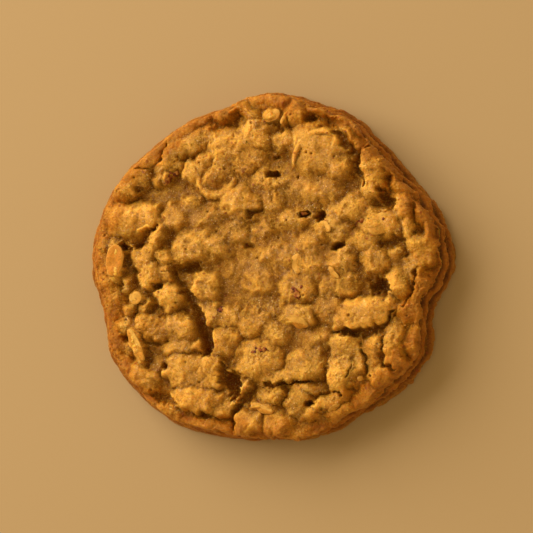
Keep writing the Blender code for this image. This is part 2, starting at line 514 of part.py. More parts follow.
def closed_sheet():
    """A flat square sheet with its edge drawn down one unit a row, and closed below."""
    bm = bmesh.new()
    bmesh.ops.create_grid(bm, x_segments=SHEET, y_segments=SHEET, size=1.0)
    edge = [side for side in bm.edges if side.is_boundary]
    for _ in range(ROWS):
        drawn = bmesh.ops.extrude_edge_only(bm, edges=edge)["geom"]
        below = [part for part in drawn if isinstance(part, bmesh.types.BMVert)]
        bmesh.ops.translate(bm, verts=below, vec=(0.0, 0.0, -1.0))
        edge = [part for part in drawn if isinstance(part, bmesh.types.BMEdge) and part.is_boundary]
    bmesh.ops.contextual_create(bm, geom=edge)
    return bm


def thin_out(obj, triangles):
    """Leaves about this many triangles, most of them where the relief is."""
    obj.data.calc_loop_triangles()
    decimate = obj.modifiers.new("thin out", "DECIMATE")
    decimate.ratio = min(1.0, triangles / len(obj.data.loop_triangles))
    graph = bpy.context.evaluated_depsgraph_get()
    thinned = bpy.data.meshes.new_from_object(obj.evaluated_get(graph))
    obj.modifiers.clear()
    obj.data = thinned


def flatten_underside(obj):
    """Cuts the cookie at the height of the tray it was baked on, and closes the cut."""
    bm = bmesh.new()
    bm.from_mesh(obj.data)
    bmesh.ops.bisect_plane(
        bm,
        geom=bm.verts[:] + bm.edges[:] + bm.faces[:],
        plane_co=(0.0, 0.0, 0.0),
        plane_no=(0.0, 0.0, 1.0),
        clear_inner=True,
        dist=0.0005 * MM,
    )
    rim = [edge for edge in bm.edges if edge.is_boundary]
    bmesh.ops.holes_fill(bm, edges=rim, sides=0)
    bmesh.ops.triangulate(bm, faces=bm.faces[:])
    bmesh.ops.recalc_face_normals(bm, faces=bm.faces[:])
    bm.to_mesh(obj.data)
    bm.free()


def centre_on_origin(obj):
    """Moves the mesh so that its box is centred over the origin."""
    across = [vert.co.x for vert in obj.data.vertices]
    along = [vert.co.y for vert in obj.data.vertices]
    middle = Vector((min(across) + max(across), min(along) + max(along), 0.0)) / 2
    obj.data.transform(Matrix.Translation(-middle))


def crust_material():
    crust = bpy.data.materials.new("baked_dough")
    crust.use_nodes = True
    shader = crust.node_tree.nodes["Principled BSDF"]
    shader.inputs["Base Color"].default_value = (0.42, 0.17, 0.035, 1.0)
    shader.inputs["Roughness"].default_value = 0.7
    shader.inputs["Metallic"].default_value = 0.0
    return crust


def make_cookie(parts):
    bm = closed_sheet()
    sheet = np.array([vert.co for vert in bm.verts])
    places = shape(sheet[:, 0], sheet[:, 1], np.round(-sheet[:, 2]))
    for vert, place in zip(bm.verts, places):
        vert.co = place
    mesh = bpy.data.meshes.new("cookie")
    bm.to_mesh(mesh)
    bm.free()
    cookie = bpy.data.objects.new("cookie", mesh)
    parts.objects.link(cookie)
    thin_out(cookie, TRIANGLES)
    flatten_underside(cookie)
    centre_on_origin(cookie)
    cookie.data.materials.append(crust_material())
    cookie.data.shade_smooth()


def main():
    for obj in list(bpy.data.objects):
        bpy.data.objects.remove(obj, do_unlink=True)
    parts = bpy.data.collections.new("Oatmeal cookie")
    bpy.context.scene.collection.children.link(parts)
    make_cookie(parts)


main()
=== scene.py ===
"""An oatmeal pecan cookie: the looks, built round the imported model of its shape."""

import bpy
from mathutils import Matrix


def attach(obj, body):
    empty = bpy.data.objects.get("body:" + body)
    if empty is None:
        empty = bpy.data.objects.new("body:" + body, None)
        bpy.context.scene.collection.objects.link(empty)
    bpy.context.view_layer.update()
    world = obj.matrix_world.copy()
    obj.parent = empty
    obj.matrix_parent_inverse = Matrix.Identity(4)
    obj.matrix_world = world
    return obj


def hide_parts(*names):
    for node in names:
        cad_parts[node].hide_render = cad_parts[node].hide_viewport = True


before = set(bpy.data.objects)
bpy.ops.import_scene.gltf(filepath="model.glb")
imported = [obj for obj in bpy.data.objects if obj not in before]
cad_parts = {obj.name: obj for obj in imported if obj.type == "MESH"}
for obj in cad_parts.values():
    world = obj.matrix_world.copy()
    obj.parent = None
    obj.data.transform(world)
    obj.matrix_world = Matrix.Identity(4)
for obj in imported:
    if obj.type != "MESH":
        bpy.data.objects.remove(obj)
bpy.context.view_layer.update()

import math

import bpy
import numpy as np
from mathutils import Matrix, Vector
from mathutils.kdtree import KDTree

# ---------------------------------------------------------------- the view
# The photographer's long lens looks down on the baked top, leaning a little to the right and to
# the near side, so that the thick right side wall shows. The picture is square.
MM = 0.001
PICTURE = 533
PIXELS_PER_MM = 4.4
VIEW_DISTANCE = 600.0
LEAN_RIGHT = math.radians(14.0)
LEAN_NEAR = math.radians(2.0)
MIDDLE_PIXEL = (272.1, 266.6)  # where the middle of the underside lies in the picture
SENSOR = 36.0

to_lens = Vector(
    (
        math.sin(LEAN_RIGHT) * math.cos(LEAN_NEAR),
        -math.sin(LEAN_NEAR),
        math.cos(LEAN_RIGHT) * math.cos(LEAN_NEAR),
    )
).normalized()
view_up = (Vector((0, 1, 0)) - to_lens * to_lens.y).normalized()
view_right = view_up.cross(to_lens)
facing = Matrix((view_right, view_up, to_lens)).transposed()

bpy.ops.object.select_all(action="DESELECT")
bpy.ops.object.camera_add()
camera = bpy.context.object
camera.name = "photograph_view"
camera.data.sensor_width = SENSOR
camera.data.lens = SENSOR * PIXELS_PER_MM * VIEW_DISTANCE / PICTURE
camera.data.shift_x = (PICTURE / 2 - MIDDLE_PIXEL[0]) / PICTURE
camera.data.shift_y = (MIDDLE_PIXEL[1] - PICTURE / 2) / PICTURE
camera.matrix_world = Matrix.Translation(to_lens * VIEW_DISTANCE * MM) @ facing.to_4x4()
bpy.context.scene.camera = camera

# ---------------------------------------------------------------- the baked dough
# One thick round of oat dough that spread on the tray while it baked: a flat underside, a side
# wall of two rolled layers over a browned lip, and a top of clumps with deep clefts between them.
# It is a fine sheet drawn down at its edge and closed below. Lengths in the tables are millimetres.
# Round the cookie, anticlockwise from +X: the outline's radius at the foot, the height of the side
# wall's top, how far the wall leans in on its way up, how strongly its grooves show, how rough it is
OUTLINE_RADII = (
    42.3, 41.0, 37.8, 37.5, 38.4, 38.2, 39.2, 37.6, 38.4, 39.2, 41.2, 42.5,
    43.0, 41.5, 43.4, 43.2, 42.7, 40.8, 39.8, 40.5, 40.0, 40.8, 42.0, 38.9,
)
RIM_HEIGHTS = (9.6, 9.2, 9.0, 8.8, 9.0, 9.2, 9.0, 9.0, 8.0, 9.4, 8.4, 9.2)
WALL_LEANS = (1.9, 1.4, 0.9, 1.2, 2.4, 3.2, 3.4, 3.0, 2.0, 0.6, 0.8, 1.5)
WALL_GROOVES = (1.2, 1.1, 0.9, 0.5, 0.3, 0.3, 0.4, 0.3, 0.4, 0.7, 0.9, 1.1)
WALL_ROUGHNESS = (1.0, 1.0, 0.8, 0.6, 0.4, 0.4, 0.6, 0.6, 0.6, 0.7, 0.9, 1.0)
# Each clump: its middle's x and y, half length, half width, turn in degrees, and its top's height
CLUMPS = (
    # Far left: the smooth roll along the rim and the pillow below it
    (-28.4, 23.2, 3.8, 2.2, 44, 11.3),
    (-23.0, 27.4, 4.6, 2.1, 38, 11.7),
    (-16.8, 31.0, 4.8, 2.2, 26, 11.4),
    (-21.2, 24.0, 4.8, 2.0, 48, 12.0),
    (-14.6, 27.6, 4.6, 2.6, 25, 12.3),
    (-31.0, 18.2, 5.0, 3.1, 36, 12.4),
    (-24.2, 19.2, 1.8, 1.4, 20, 11.5),
    (-21.7, 19.4, 1.4, 1.1, 60, 11.7),
    (-19.8, 22.0, 1.5, 1.4, 0, 11.6),
    (-16.2, 20.6, 2.1, 2.7, 20, 12.7),
    (-13.4, 22.6, 2.5, 1.7, 52, 12.9),
    (-10.4, 19.2, 2.6, 2.0, 12, 13.1),
    (-10.2, 18.6, 5.0, 4.2, 10, 12.3),
    (-9.2, 21.8, 2.5, 2.2, 0, 12.5),
    # Left: the crumbly clump, two round ones and the two-pronged ridge
    (-31.8, 9.8, 4.9, 4.5, 0, 12.6),
    (-27.0, 10.8, 3.6, 3.1, -20, 12.7),
    (-36.2, 10.4, 1.9, 3.4, -15, 11.0),
    (-37.0, 5.6, 2.2, 3.6, 0, 10.5),
    (-37.6, 1.2, 1.8, 3.0, 5, 10.2),
    (-19.6, 10.4, 3.5, 3.5, 0, 12.8),
    (-16.2, 13.4, 2.2, 2.1, 0, 12.4),
    (-31.0, 3.8, 0.9, 1.1, 0, 10.8),
    (-24.6, 5.4, 3.5, 1.5, 62, 13.3),
    (-26.6, 1.6, 3.1, 2.6, 60, 13.1),
    (-29.2, 1.6, 1.5, 2.4, 0, 11.4),
    (-22.3, 1.4, 2.7, 1.9, -30, 12.7),
    (-25.6, -2.6, 2.8, 2.3, 40, 13.1),
    (-22.4, -2.2, 1.7, 1.7, 0, 12.5),
    (-34.0, 0.6, 4.2, 2.3, 85, 12.4),
    (-36.6, -3.4, 1.9, 3.6, 10, 11.2),
    (-28.9, -7.9, 2.0, 1.6, 0, 12.5),
    (-27.0, -9.6, 1.5, 1.1, 45, 12.1),
    (-31.6, -4.8, 1.3, 2.3, -10, 11.5),
    (-31.0, -10.2, 1.5, 1.3, 0, 11.5),
    (-21.6, -7.6, 3.0, 3.4, 10, 13.0),
    (-34.8, -8.4, 2.5, 4.0, 12, 11.4),
    # Near left: clumps between the long cleft and the rim
    (-32.0, -13.4, 2.3, 2.3, 40, 12.0),
    (-33.6, -18.0, 1.7, 4.6, 6, 10.9),
    (-30.9, -19.0, 1.3, 1.9, 0, 11.3),
    (-28.7, -18.4, 4.0, 1.3, -65, 12.7),
    (-25.4, -14.3, 4.1, 2.9, -25, 12.8),
    (-18.8, -14.6, 3.9, 3.7, -20, 13.2),
    (-18.4, -18.7, 4.1, 1.4, 8, 12.9),
    (-18.0, -23.8, 4.9, 3.9, -10, 13.5),
    (-12.6, -24.4, 4.2, 4.2, 10, 13.3),
    (-15.4, -30.4, 5.3, 2.9, -8, 13.1),
    (-10.0, -32.6, 3.5, 2.1, 5, 11.5),
    (-27.6, -25.4, 4.0, 3.1, -25, 11.9),
    (-24.4, -22.2, 2.0, 2.0, 0, 10.6),
    (-21.6, -33.0, 2.7, 1.5, -38, 10.4),
    (-32.0, -22.8, 1.7, 3.0, 30, 10.6),
    (-5.0, -29.4, 2.9, 0.9, 58, 12.1),
    (-13.0, -36.2, 5.5, 1.8, -12, 10.5),
    (-3.6, -35.4, 3.6, 3.0, 0, 11.5),
    (3.6, -35.6, 4.0, 2.9, 0, 11.5),
    # Left of the middle: the bright clumps beside the cleft
    (-15.6, 3.7, 4.8, 3.3, 8, 13.4),
    (-10.0, 3.6, 2.9, 3.1, 0, 12.9),
    (-12.6, 10.6, 4.6, 3.6, 15, 12.3),
    (-6.4, 7.0, 3.5, 2.7, 0, 12.3),
    (-5.0, 13.8, 4.6, 3.7, -20, 14.0),
    (-12.8, -5.4, 3.6, 3.6, -10, 13.5),
    (-11.6, -11.2, 2.8, 2.1, -40, 12.5),
    (-8.8, -17.6, 3.7, 3.5, 0, 13.2),
    (-7.4, -12.0, 2.7, 2.7, 0, 12.4),
    # Far side: the porous clump, the flakes behind it and the domed rim
    (-7.4, 26.4, 5.6, 3.9, 10, 13.0),
    (-1.8, 28.6, 4.1, 3.7, -10, 13.2),
    (-3.0, 22.6, 4.2, 2.6, 20, 12.3),
    (-3.6, 34.0, 3.7, 1.4, -38, 12.0),
    (-8.8, 33.4, 2.6, 1.6, 25, 11.6),
    (1.6, 36.4, 5.8, 2.2, -2, 10.8),
    (2.4, 32.6, 1.9, 1.3, 20, 12.1),
    (5.6, 32.6, 2.1, 0.7, 62, 12.3),
    (8.3, 32.8, 2.0, 3.5, 8, 12.9),
    (5.6, 27.2, 3.1, 2.3, -20, 12.5),
    (9.2, 28.4, 1.8, 1.6, 0, 12.5),
    (13.2, 34.0, 3.6, 1.8, -15, 11.4),
    # Far right: the big oat clump, the slot beside it and the bright clump past the slot
    (13.2, 25.2, 6.0, 5.4, -20, 14.2),
    (12.0, 22.4, 4.2, 3.6, 0, 13.9),
    (17.5, 21.2, 2.5, 2.8, 15, 14.0),
    (13.6, 16.4, 5.2, 4.0, -5, 13.0),
    (22.6, 30.6, 3.0, 2.5, -40, 11.3),
    (18.0, 33.0, 3.2, 1.6, -25, 11.0),
    (26.8, 27.0, 2.5, 1.9, -35, 11.3),
    (20.8, 27.6, 2.8, 0.8, -52, 11.7),
    (25.2, 21.6, 3.2, 3.9, 0, 13.7),
    (25.4, 17.0, 2.7, 2.4, 0, 12.9),
    (28.8, 22.4, 1.9, 2.7, 10, 12.4),
    (31.8, 17.4, 2.2, 2.6, 20, 11.9),
    (32.4, 12.4, 2.5, 2.8, 0, 12.9),
    (33.5, 7.8, 1.4, 2.7, 0, 12.7),
    (36.5, 11.4, 1.6, 3.6, 12, 11.7),
    (36.3, 2.8, 3.1, 3.6, 0, 12.5),
    (27.0, 8.6, 4.4, 3.2, -8, 13.4),
    (20.4, 12.0, 4.6, 2.9, 10, 13.0),
    (23.4, 4.4, 3.7, 2.3, 0, 12.8),
    # Middle: low clumps that run together
    (6.8, 9.2, 3.4, 3.1, -10, 13.0),
    (2.6, 13.4, 2.7, 3.0, 0, 12.5),
    (1.2, 17.4, 4.2, 3.4, 15, 12.1),
    (3.2, 1.0, 6.2, 4.4, 0, 12.0),
    (-0.6, -4.4, 4.2, 2.7, 10, 12.4),
    (16.0, 7.4, 3.9, 3.1, -25, 13.1),
    (18.2, 0.2, 3.1, 3.1, 0, 13.2),
    (10.8, 4.4, 3.4, 2.4, 10, 12.3),
    (11.6, -1.2, 3.6, 3.1, 0, 12.1),
    (26.0, 0.6, 3.0, 2.8, 0, 12.7),
    (6.2, -6.2, 2.0, 3.4, -15, 12.9),
    (9.6, -6.2, 2.3, 2.8, 0, 12.5),
    (8.4, -12.0, 3.5, 2.8, -12, 13.3),
    (14.8, -10.6, 3.9, 3.2, 0, 12.4),
    (19.0, -5.2, 3.1, 2.7, 0, 12.7),
    (15.2, -5.4, 2.0, 2.6, 0, 12.4),
    (-1.8, -13.8, 4.2, 3.2, 10, 12.7),
    (3.4, -15.8, 3.5, 2.9, 0, 12.8),
    (-0.6, -21.8, 5.5, 5.0, -20, 13.8),
    (13.0, -16.8, 3.9, 2.9, 20, 12.3),
    (1.0, 8.0, 3.5, 2.7, 0, 12.0),
    # Near right: the long smooth finger and the lobes beside and below it
    (23.6, -11.4, 6.3, 3.4, 14, 14.3),
    (30.6, -4.4, 2.5, 3.7, 0, 12.3),
    (33.6, -1.8, 2.2, 2.9, 0, 12.3),
    (30.2, 1.2, 1.7, 2.0, 0, 11.5),
    (33.0, -11.4, 2.2, 3.2, -5, 12.2),
    (36.2, -4.6, 1.1, 4.8, -2, 11.7),
    (35.7, -11.0, 1.1, 4.0, 2, 11.5),
    (30.0, -18.6, 2.6, 5.2, 3, 13.1),
    (35.0, -17.4, 2.8, 3.4, -30, 11.9),
    (25.2, -19.6, 2.3, 4.1, -6, 12.3),
    (18.2, -24.4, 2.9, 4.8, -8, 14.0),
    (19.0, -18.8, 3.5, 2.9, -10, 13.6),
    (22.2, -21.4, 1.6, 3.8, -8, 13.0),
    (10.2, -22.4, 5.1, 3.7, 12, 13.3),
    (4.8, -25.2, 4.2, 1.4, 14, 12.9),
    (27.2, -25.4, 3.1, 2.9, 0, 12.3),
    (32.4, -24.6, 3.1, 2.3, 50, 10.6),
    (2.0, -29.6, 3.0, 2.6, 0, 12.1),
    (0.3, -32.3, 2.5, 0.9, -20, 12.2),
    (8.4, -30.6, 2.9, 3.3, 0, 12.3),
    (10.6, -28.0, 2.6, 1.2, 0, 11.8),
    (15.4, -30.6, 4.0, 1.6, 22, 12.4),
    (17.8, -33.4, 3.4, 2.7, 0, 11.3),
    (11.0, -33.8, 2.2, 1.5, 0, 11.5),
    (23.8, -29.8, 4.6, 2.7, 28, 10.5),
)
# The same for each pit, with the height of its bottom
PITS = (
    (-17.2, -1.1, 2.6, 0.9, 5, 7.2),
    (-7.1, -27.0, 2.5, 1.4, -70, 5.5),
    (-23.4, -30.2, 2.7, 1.2, -25, 7.6),
    (-32.2, 4.0, 0.9, 0.7, -20, 7.8),
    (-28.9, 4.3, 1.0, 0.8, 0, 7.4),
    (-30.0, -1.6, 1.2, 0.8, -30, 8.6),
    (-31.7, -16.6, 1.0, 0.6, 0, 8.0),
    (-24.0, -5.1, 0.8, 0.7, 0, 8.6),
    (-24.6, -18.2, 1.4, 0.6, 0, 8.8),
    (-22.9, -22.9, 0.6, 0.7, 0, 8.8),
    (-19.5, 19.8, 0.6, 0.6, 0, 9.6),
    (2.7, 19.6, 1.1, 0.6, 0, 7.5),
    (3.1, 23.9, 0.8, 0.5, 10, 8.0),
    (4.9, 22.7, 0.9, 0.8, 0, 9.4),
    (8.2, 18.9, 0.3, 0.6, 0, 9.6),
    (13.4, 10.3, 1.1, 0.8, 20, 7.5),
    (10.0, 10.7, 0.9, 0.6, 0, 8.8),
    (17.3, 3.5, 1.2, 0.6, 15, 7.5),
    (-2.9, 3.8, 1.3, 0.7, 0, 9.6),
    (28.4, 13.8, 1.9, 1.2, -60, 7.4),
    (11.3, 32.0, 1.1, 0.8, 20, 8.4),
    (26.6, -5.4, 1.7, 1.4, -20, 5.6),
    (24.6, -4.0, 1.3, 1.0, 0, 8.6),
    (10.8, -31.5, 0.8, 0.6, 0, 8.4),
)
# Each cleft: the points along it, with x, y, its half width and the height of its bottom
CLEFTS = (
    # The long cleft on the left, and the crack that runs from its foot round the near hole
    ((-20.6, -1.8, 0.6, 8.6), (-19.0, -4.6, 0.7, 8.2), (-17.0, -8.0, 0.9, 7.4), (-15.0, -11.6, 1.1, 6.6),
     (-13.2, -14.8, 1.2, 6.0), (-12.7, -17.8, 0.9, 6.2), (-13.4, -20.4, 0.7, 7.2)),
    ((-9.4, -22.2, 0.3, 9.6), (-8.4, -24.2, 0.4, 8.0), (-7.4, -26.0, 1.0, 6.0)),
    ((-17.6, -33.4, 0.3, 9.4), (-14.8, -33.8, 0.5, 8.1), (-11.6, -34.7, 0.3, 8.8),
     (-8.8, -35.1, 0.4, 8.1), (-6.6, -34.0, 0.5, 8.0), (-4.6, -31.8, 0.7, 8.0),
     (-3.0, -29.8, 1.0, 7.8), (-1.6, -27.8, 0.5, 8.8)),
    ((-7.6, -34.8, 0.5, 7.6), (-7.2, -36.8, 0.4, 7.4)),
    ((-20.2, -28.4, 0.2, 11.1), (-18.4, -27.5, 0.25, 11.3), (-15.0, -27.6, 0.2, 11.8)),
    ((0.8, -26.6, 0.35, 10.0), (5.8, -27.0, 0.5, 9.0), (11.6, -26.5, 0.35, 9.8)),
    # Far left: the valley behind the crumbly clump and the crease along the roll
    ((-28.9, 16.8, 0.6, 9.9), (-27.2, 15.6, 0.7, 9.7), (-21.0, 16.4, 0.8, 9.9),
     (-14.8, 16.6, 0.5, 10.4)),
    ((-29.4, 21.6, 0.2, 10.8), (-26.0, 21.5, 0.35, 10.1), (-24.0, 23.4, 0.35, 10.1),
     (-21.8, 26.4, 0.25, 10.9)),
    ((-28.2, 5.8, 0.35, 9.9), (-26.0, 7.4, 0.5, 9.5), (-24.2, 9.0, 0.4, 10.2)),
    ((-31.0, 3.8, 0.5, 9.2), (-31.1, 0.2, 0.7, 8.8), (-31.6, -2.6, 0.4, 9.9)),
    ((-26.6, -18.8, 0.5, 9.4), (-26.2, -21.0, 0.7, 9.0), (-26.6, -23.4, 0.4, 9.5)),
    ((-3.8, 10.0, 0.4, 10.6), (-2.0, 10.7, 0.5, 9.7), (-0.6, 11.6, 0.5, 10.1)),
    # Far right: the slot between the two biggest clumps, and the gaps past it
    ((16.8, 29.6, 0.4, 10.4), (19.2, 26.8, 0.7, 9.2), (21.1, 23.6, 1.0, 8.2), (21.9, 20.2, 0.7, 8.8),
     (23.2, 16.8, 0.3, 10.2)),
    ((2.4, 30.6, 0.4, 9.7), (5.2, 29.4, 0.5, 9.0)),
    ((23.8, 25.4, 0.3, 10.1), (26.6, 26.2, 0.4, 9.5)),
    ((27.0, 4.2, 0.6, 9.5), (29.6, 4.6, 0.9, 8.8), (32.6, 4.6, 0.5, 9.5), (32.8, 1.4, 0.5, 9.2)),
    ((34.6, 13.4, 0.35, 10.6), (34.9, 9.8, 0.35, 10.4), (35.4, 6.6, 0.5, 9.9)),
    # Near right: the shadowed gaps round the finger and the lobes
    ((17.4, -15.0, 0.3, 10.1), (20.2, -15.8, 0.8, 8.1), (24.0, -15.5, 0.6, 8.8), (27.6, -14.2, 0.5, 9.4),
     (29.8, -11.2, 0.3, 9.9)),
    ((35.2, -1.8, 0.4, 10.1), (34.4, -4.8, 0.5, 9.5), (33.0, -7.8, 0.5, 9.7), (31.8, -10.0, 0.35, 10.6)),
    ((27.4, -14.6, 0.4, 10.1), (27.3, -19.0, 0.35, 10.8), (27.8, -22.6, 0.6, 9.5),
     (30.4, -23.8, 0.4, 10.1)),
    ((22.6, -16.4, 0.3, 10.9), (23.4, -20.0, 0.35, 10.9), (23.8, -23.8, 0.6, 9.9)),
    ((20.5, -21.4, 0.35, 12.0), (20.3, -25.2, 0.35, 11.8)),
    ((14.6, -20.6, 0.35, 11.5), (14.4, -24.4, 0.4, 10.6), (12.6, -27.0, 0.4, 10.1)),
    ((14.2, -28.4, 0.2, 10.8), (18.6, -28.8, 0.3, 10.6)),
    ((32.2, -14.6, 0.3, 10.2), (33.6, -13.9, 0.3, 10.2)),
)
# The thin rolled edges that stand up: their points, with x, y, half width and crest
RIDGES = (
    # The curled flake, the edges of the big flake and the roll along the far left rim
    ((-14.4, 19.4, 0.6, 12.2), (-14.0, 17.2, 0.9, 12.9), (-12.0, 15.6, 1.0, 13.3),
     (-9.2, 15.2, 0.9, 13.4), (-7.0, 16.4, 0.9, 13.3), (-6.2, 18.4, 0.6, 12.7)),
    ((7.8, 21.6, 0.4, 13.4), (8.0, 24.2, 0.5, 14.1), (9.4, 26.8, 0.5, 14.5), (11.8, 28.6, 0.5, 14.7),
     (14.6, 29.2, 0.5, 14.6), (17.0, 28.4, 0.4, 14.2)),
    ((-32.0, 19.6, 1.6, 10.8), (-27.8, 23.0, 2.2, 11.4), (-22.4, 27.0, 2.3, 11.8),
     (-17.0, 30.2, 2.0, 11.6)),
    # Smaller flakes' edges: behind the middle, in the middle and on the near clumps
    ((-7.2, 33.8, 0.35, 12.6), (-5.2, 34.9, 0.4, 12.8), (-3.0, 34.0, 0.4, 12.9),
     (-1.6, 32.6, 0.3, 12.7)),
    ((8.6, -9.8, 0.6, 13.4), (10.8, -10.8, 0.9, 13.8), (11.4, -13.0, 0.8, 13.7)),
    ((-28.6, 7.6, 0.4, 12.8), (-26.4, 8.6, 0.4, 12.9), (-24.8, 7.2, 0.4, 12.8), (-24.0, 5.6, 0.4, 12.6)),
    # The thin rolled edge of the near right and right rim
    ((34.6, 16.4, 0.7, 11.2), (37.2, 11.6, 0.7, 11.5), (37.6, 6.0, 0.7, 11.6), (36.8, 1.2, 0.8, 11.8),
     (35.2, -4.4, 0.8, 11.8), (34.4, -9.4, 0.8, 11.9), (35.6, -13.4, 0.9, 11.6),
     (37.2, -16.4, 0.8, 10.8)),
)
# Where the skin is smooth or crumbly: an oval and how rough it is
SKINS = (
    (-24.0, 27.0, 14.0, 4.0, 38, 0.10),
    (-5.0, 13.8, 4.6, 3.8, -20, 0.40),
    (-19.6, 10.4, 4.0, 4.0, 0, 0.15),
    (4.0, 0.0, 14.0, 8.0, 0, 0.65),
    (12.6, 22.6, 7.0, 8.0, 0, 0.25),
    (23.6, -11.4, 7.0, 4.0, 14, 0.50),
    (1.5, 36.0, 6.0, 3.0, 0, 0.30),
    (-7.4, 26.4, 6.0, 4.5, 10, 1.20),
    (-30.0, 9.5, 6.0, 4.5, 0, 0.80),
    (-18.0, -16.0, 8.0, 4.5, 0, 1.00),
    (-15.0, -27.0, 8.0, 6.0, 0, 1.00),
    (-27.0, -24.0, 5.0, 5.0, 0, 0.90),
    (-4.0, -35.0, 12.0, 3.5, 0, 0.90),
    (26.0, -26.0, 9.0, 5.0, 30, 0.90),
)
# The top's height where nothing stands on it, and how widely neighbours run into each other
FLOOR = 9.3
BLEND = 0.22
MOIST_BLEND = 0.50
MOIST = (4.0, 6.0, 27.0, 23.0)  # the middle, where clumps run together: its place and half sizes
# How ragged and rough the dough is: the grain, swing and seed of each unevenness, and its slopes
WARPS = ((4.6, 1.2, 1), (1.9, 0.9, 2), (0.85, 0.3, 3))  # its ragged edges
SWELLS = ((5.5, 1.3, 7), (2.6, 0.4, 31))  # the unevenness all over the top
MOIST_SWELLS = ((1.7, 0.45, 32), (0.8, 0.2, 33))  # and in its moist middle
DOMING = 0.46  # how far a clump's edge lies below its top, as a share of its half width
EDGE_SLOPE = 2.5  # how steeply it falls away past its edge
MOIST_EDGE_SLOPE = 1.3
RIDGE_SLOPE = 2.5
CUT_SLOPE = 3.5  # how steep the walls of pits and clefts are
RIM_ROUND = 1.5  # how far in the top's rounded edge reaches
CRUMB_GRAIN = 3.4
CRUMB_SWING = 0.7
FINE_BUMPS = ((2.3, 0.18, 4), (1.2, 0.13, 5), (0.7, 0.08, 6))
PORES = ((3.7, 0.16, 0.26, 2), (2.4, 0.06, 0.2, 3))  # spacing, share that are open, size, seed
PORE_DEPTH = 0.7
# The broad swells under the clumps: x, y, half length, half width and height
MOUNDS = (
    (4.0, 1.0, 19.0, 11.0, 11.5),
    (12.0, 16.0, 8.0, 7.0, 11.6),
    (-4.0, 21.0, 9.0, 8.0, 11.0),
    (4.0, -14.0, 14.0, 8.0, 11.0),
    (-12.0, 8.0, 8.0, 5.0, 11.0),
)
# Up the side wall, heights and insets: the lip, a groove, a rolled layer, a groove, a layer
WALL = (
    (0.0, 0.7), (1.2, 0.0), (2.4, 0.1), (3.3, 1.5), (5.0, 0.2),
    (6.4, 0.4), (7.2, 1.9), (8.6, 0.3), (10.0, 0.4),
)
WALL_RADIUS = 40.0  # where the side wall's unevenness is laid out
gradients = np.random.default_rng(5).uniform(0, math.tau, (256, 256))
slope_x, slope_y = np.cos(gradients), np.sin(gradients)
scatter = np.random.default_rng(9).random((3, 256, 256))


def swell(x, y, seed):
    """Smooth noise from about -0.7 to 0.7, in lumps one unit across."""
    x, y = x + 17.37 * seed, y + 41.19 * seed
    column, row = np.floor(x).astype(int), np.floor(y).astype(int)
    across, along = x - column, y - row
    ease_x = across**3 * (across * (across * 6 - 15) + 10)
    ease_y = along**3 * (along * (along * 6 - 15) + 10)

    def corner(i, j):
        place = (column + i) & 255, (row + j) & 255
        return slope_x[place] * (across - i) + slope_y[place] * (along - j)

    near = corner(0, 0) * (1 - ease_x) + corner(1, 0) * ease_x
    far = corner(0, 1) * (1 - ease_x) + corner(1, 1) * ease_x
    return near * (1 - ease_y) + far * ease_y


def crumbs(x, y, size, seed):
    """Rounded bumps with sharp creases between them, in three finer and finer sizes, 0 to about 1."""
    total = 0
    for step, share in enumerate((0.55, 0.3, 0.15)):
        grain = size / 1.9**step
        total = total + share * np.abs(swell(x / grain, y / grain, seed + step)) * 2
    return total


def cells(x, y, seed):
    """How far each point is from the nearest of one dot to a unit square, and that dot's chance."""
    x, y = x + 13.7 * seed, y + 29.3 * seed
    column, row = np.floor(x).astype(int), np.floor(y).astype(int)
    nearest = np.full(np.shape(x), 9.0)
    chance = np.zeros(np.shape(x))
    for i in (-1, 0, 1):
        for j in (-1, 0, 1):
            place = (column + i) & 255, (row + j) & 255
            away = np.hypot(column + i + scatter[0][place] - x, row + j + scatter[1][place] - y)
            chance = np.where(away < nearest, scatter[2][place], chance)
            nearest = np.minimum(nearest, away)
    return nearest, chance


def soft_max(first, second, blend):
    """The larger of two, run into each other where they are nearly as large."""
    return blend * np.logaddexp(first / blend, second / blend)


def soft_step(value, blend):
    """Rises from 0 with a slope of 1 once the value passes 0."""
    return blend * np.logaddexp(0, value / blend)


def round_curve(angle, values):
    """A smooth closed curve through values spaced evenly round the cookie."""
    values = np.array(values)
    place = (angle / math.tau * len(values)) % len(values)
    step = np.floor(place).astype(int)
    t = place - step
    before, here, after, beyond = (values[(step + k) % len(values)] for k in (-1, 0, 1, 2))
    bend = t * t * (3 - 2 * t)
    turn_in = (after - before) / 2 * t * (1 - t) ** 2
    turn_out = (beyond - here) / 2 * t * t * (1 - t)
    return here * (1 - bend) + after * bend + turn_in - turn_out


def layers(angle, height):
    """How far the side wall's grooves and rolled layers stand in from its lip."""
    around_x, around_y = WALL_RADIUS * np.cos(angle), WALL_RADIUS * np.sin(angle)
    lifted = height + 2.0 * swell(around_x / 13, around_y / 13, 20)
    lifted = lifted + 1.0 * swell(around_x / 4, around_y / 4, 22)
    return round_curve(angle, WALL_GROOVES) * np.interp(lifted, *zip(*WALL))


def wall(angle, height):
    """The side wall's radius at a height: its layers, its lean, and their knobs."""
    around_x, around_y = WALL_RADIUS * np.cos(angle), WALL_RADIUS * np.sin(angle)
    inset = layers(angle, height)
    inset = inset + round_curve(angle, WALL_LEANS) * np.clip(height / 10, 0, 1.2) ** 1.3
    knobs = swell(around_x / 4 + height / 3, around_y / 4 - height / 3, 21)
    grit = crumbs(around_x + height, around_y - height, 2.4, 24)
    rough = round_curve(angle, WALL_ROUGHNESS)
    return round_curve(angle, OUTLINE_RADII) - inset + rough * (1.1 * knobs + 0.8 * (grit - 0.4))


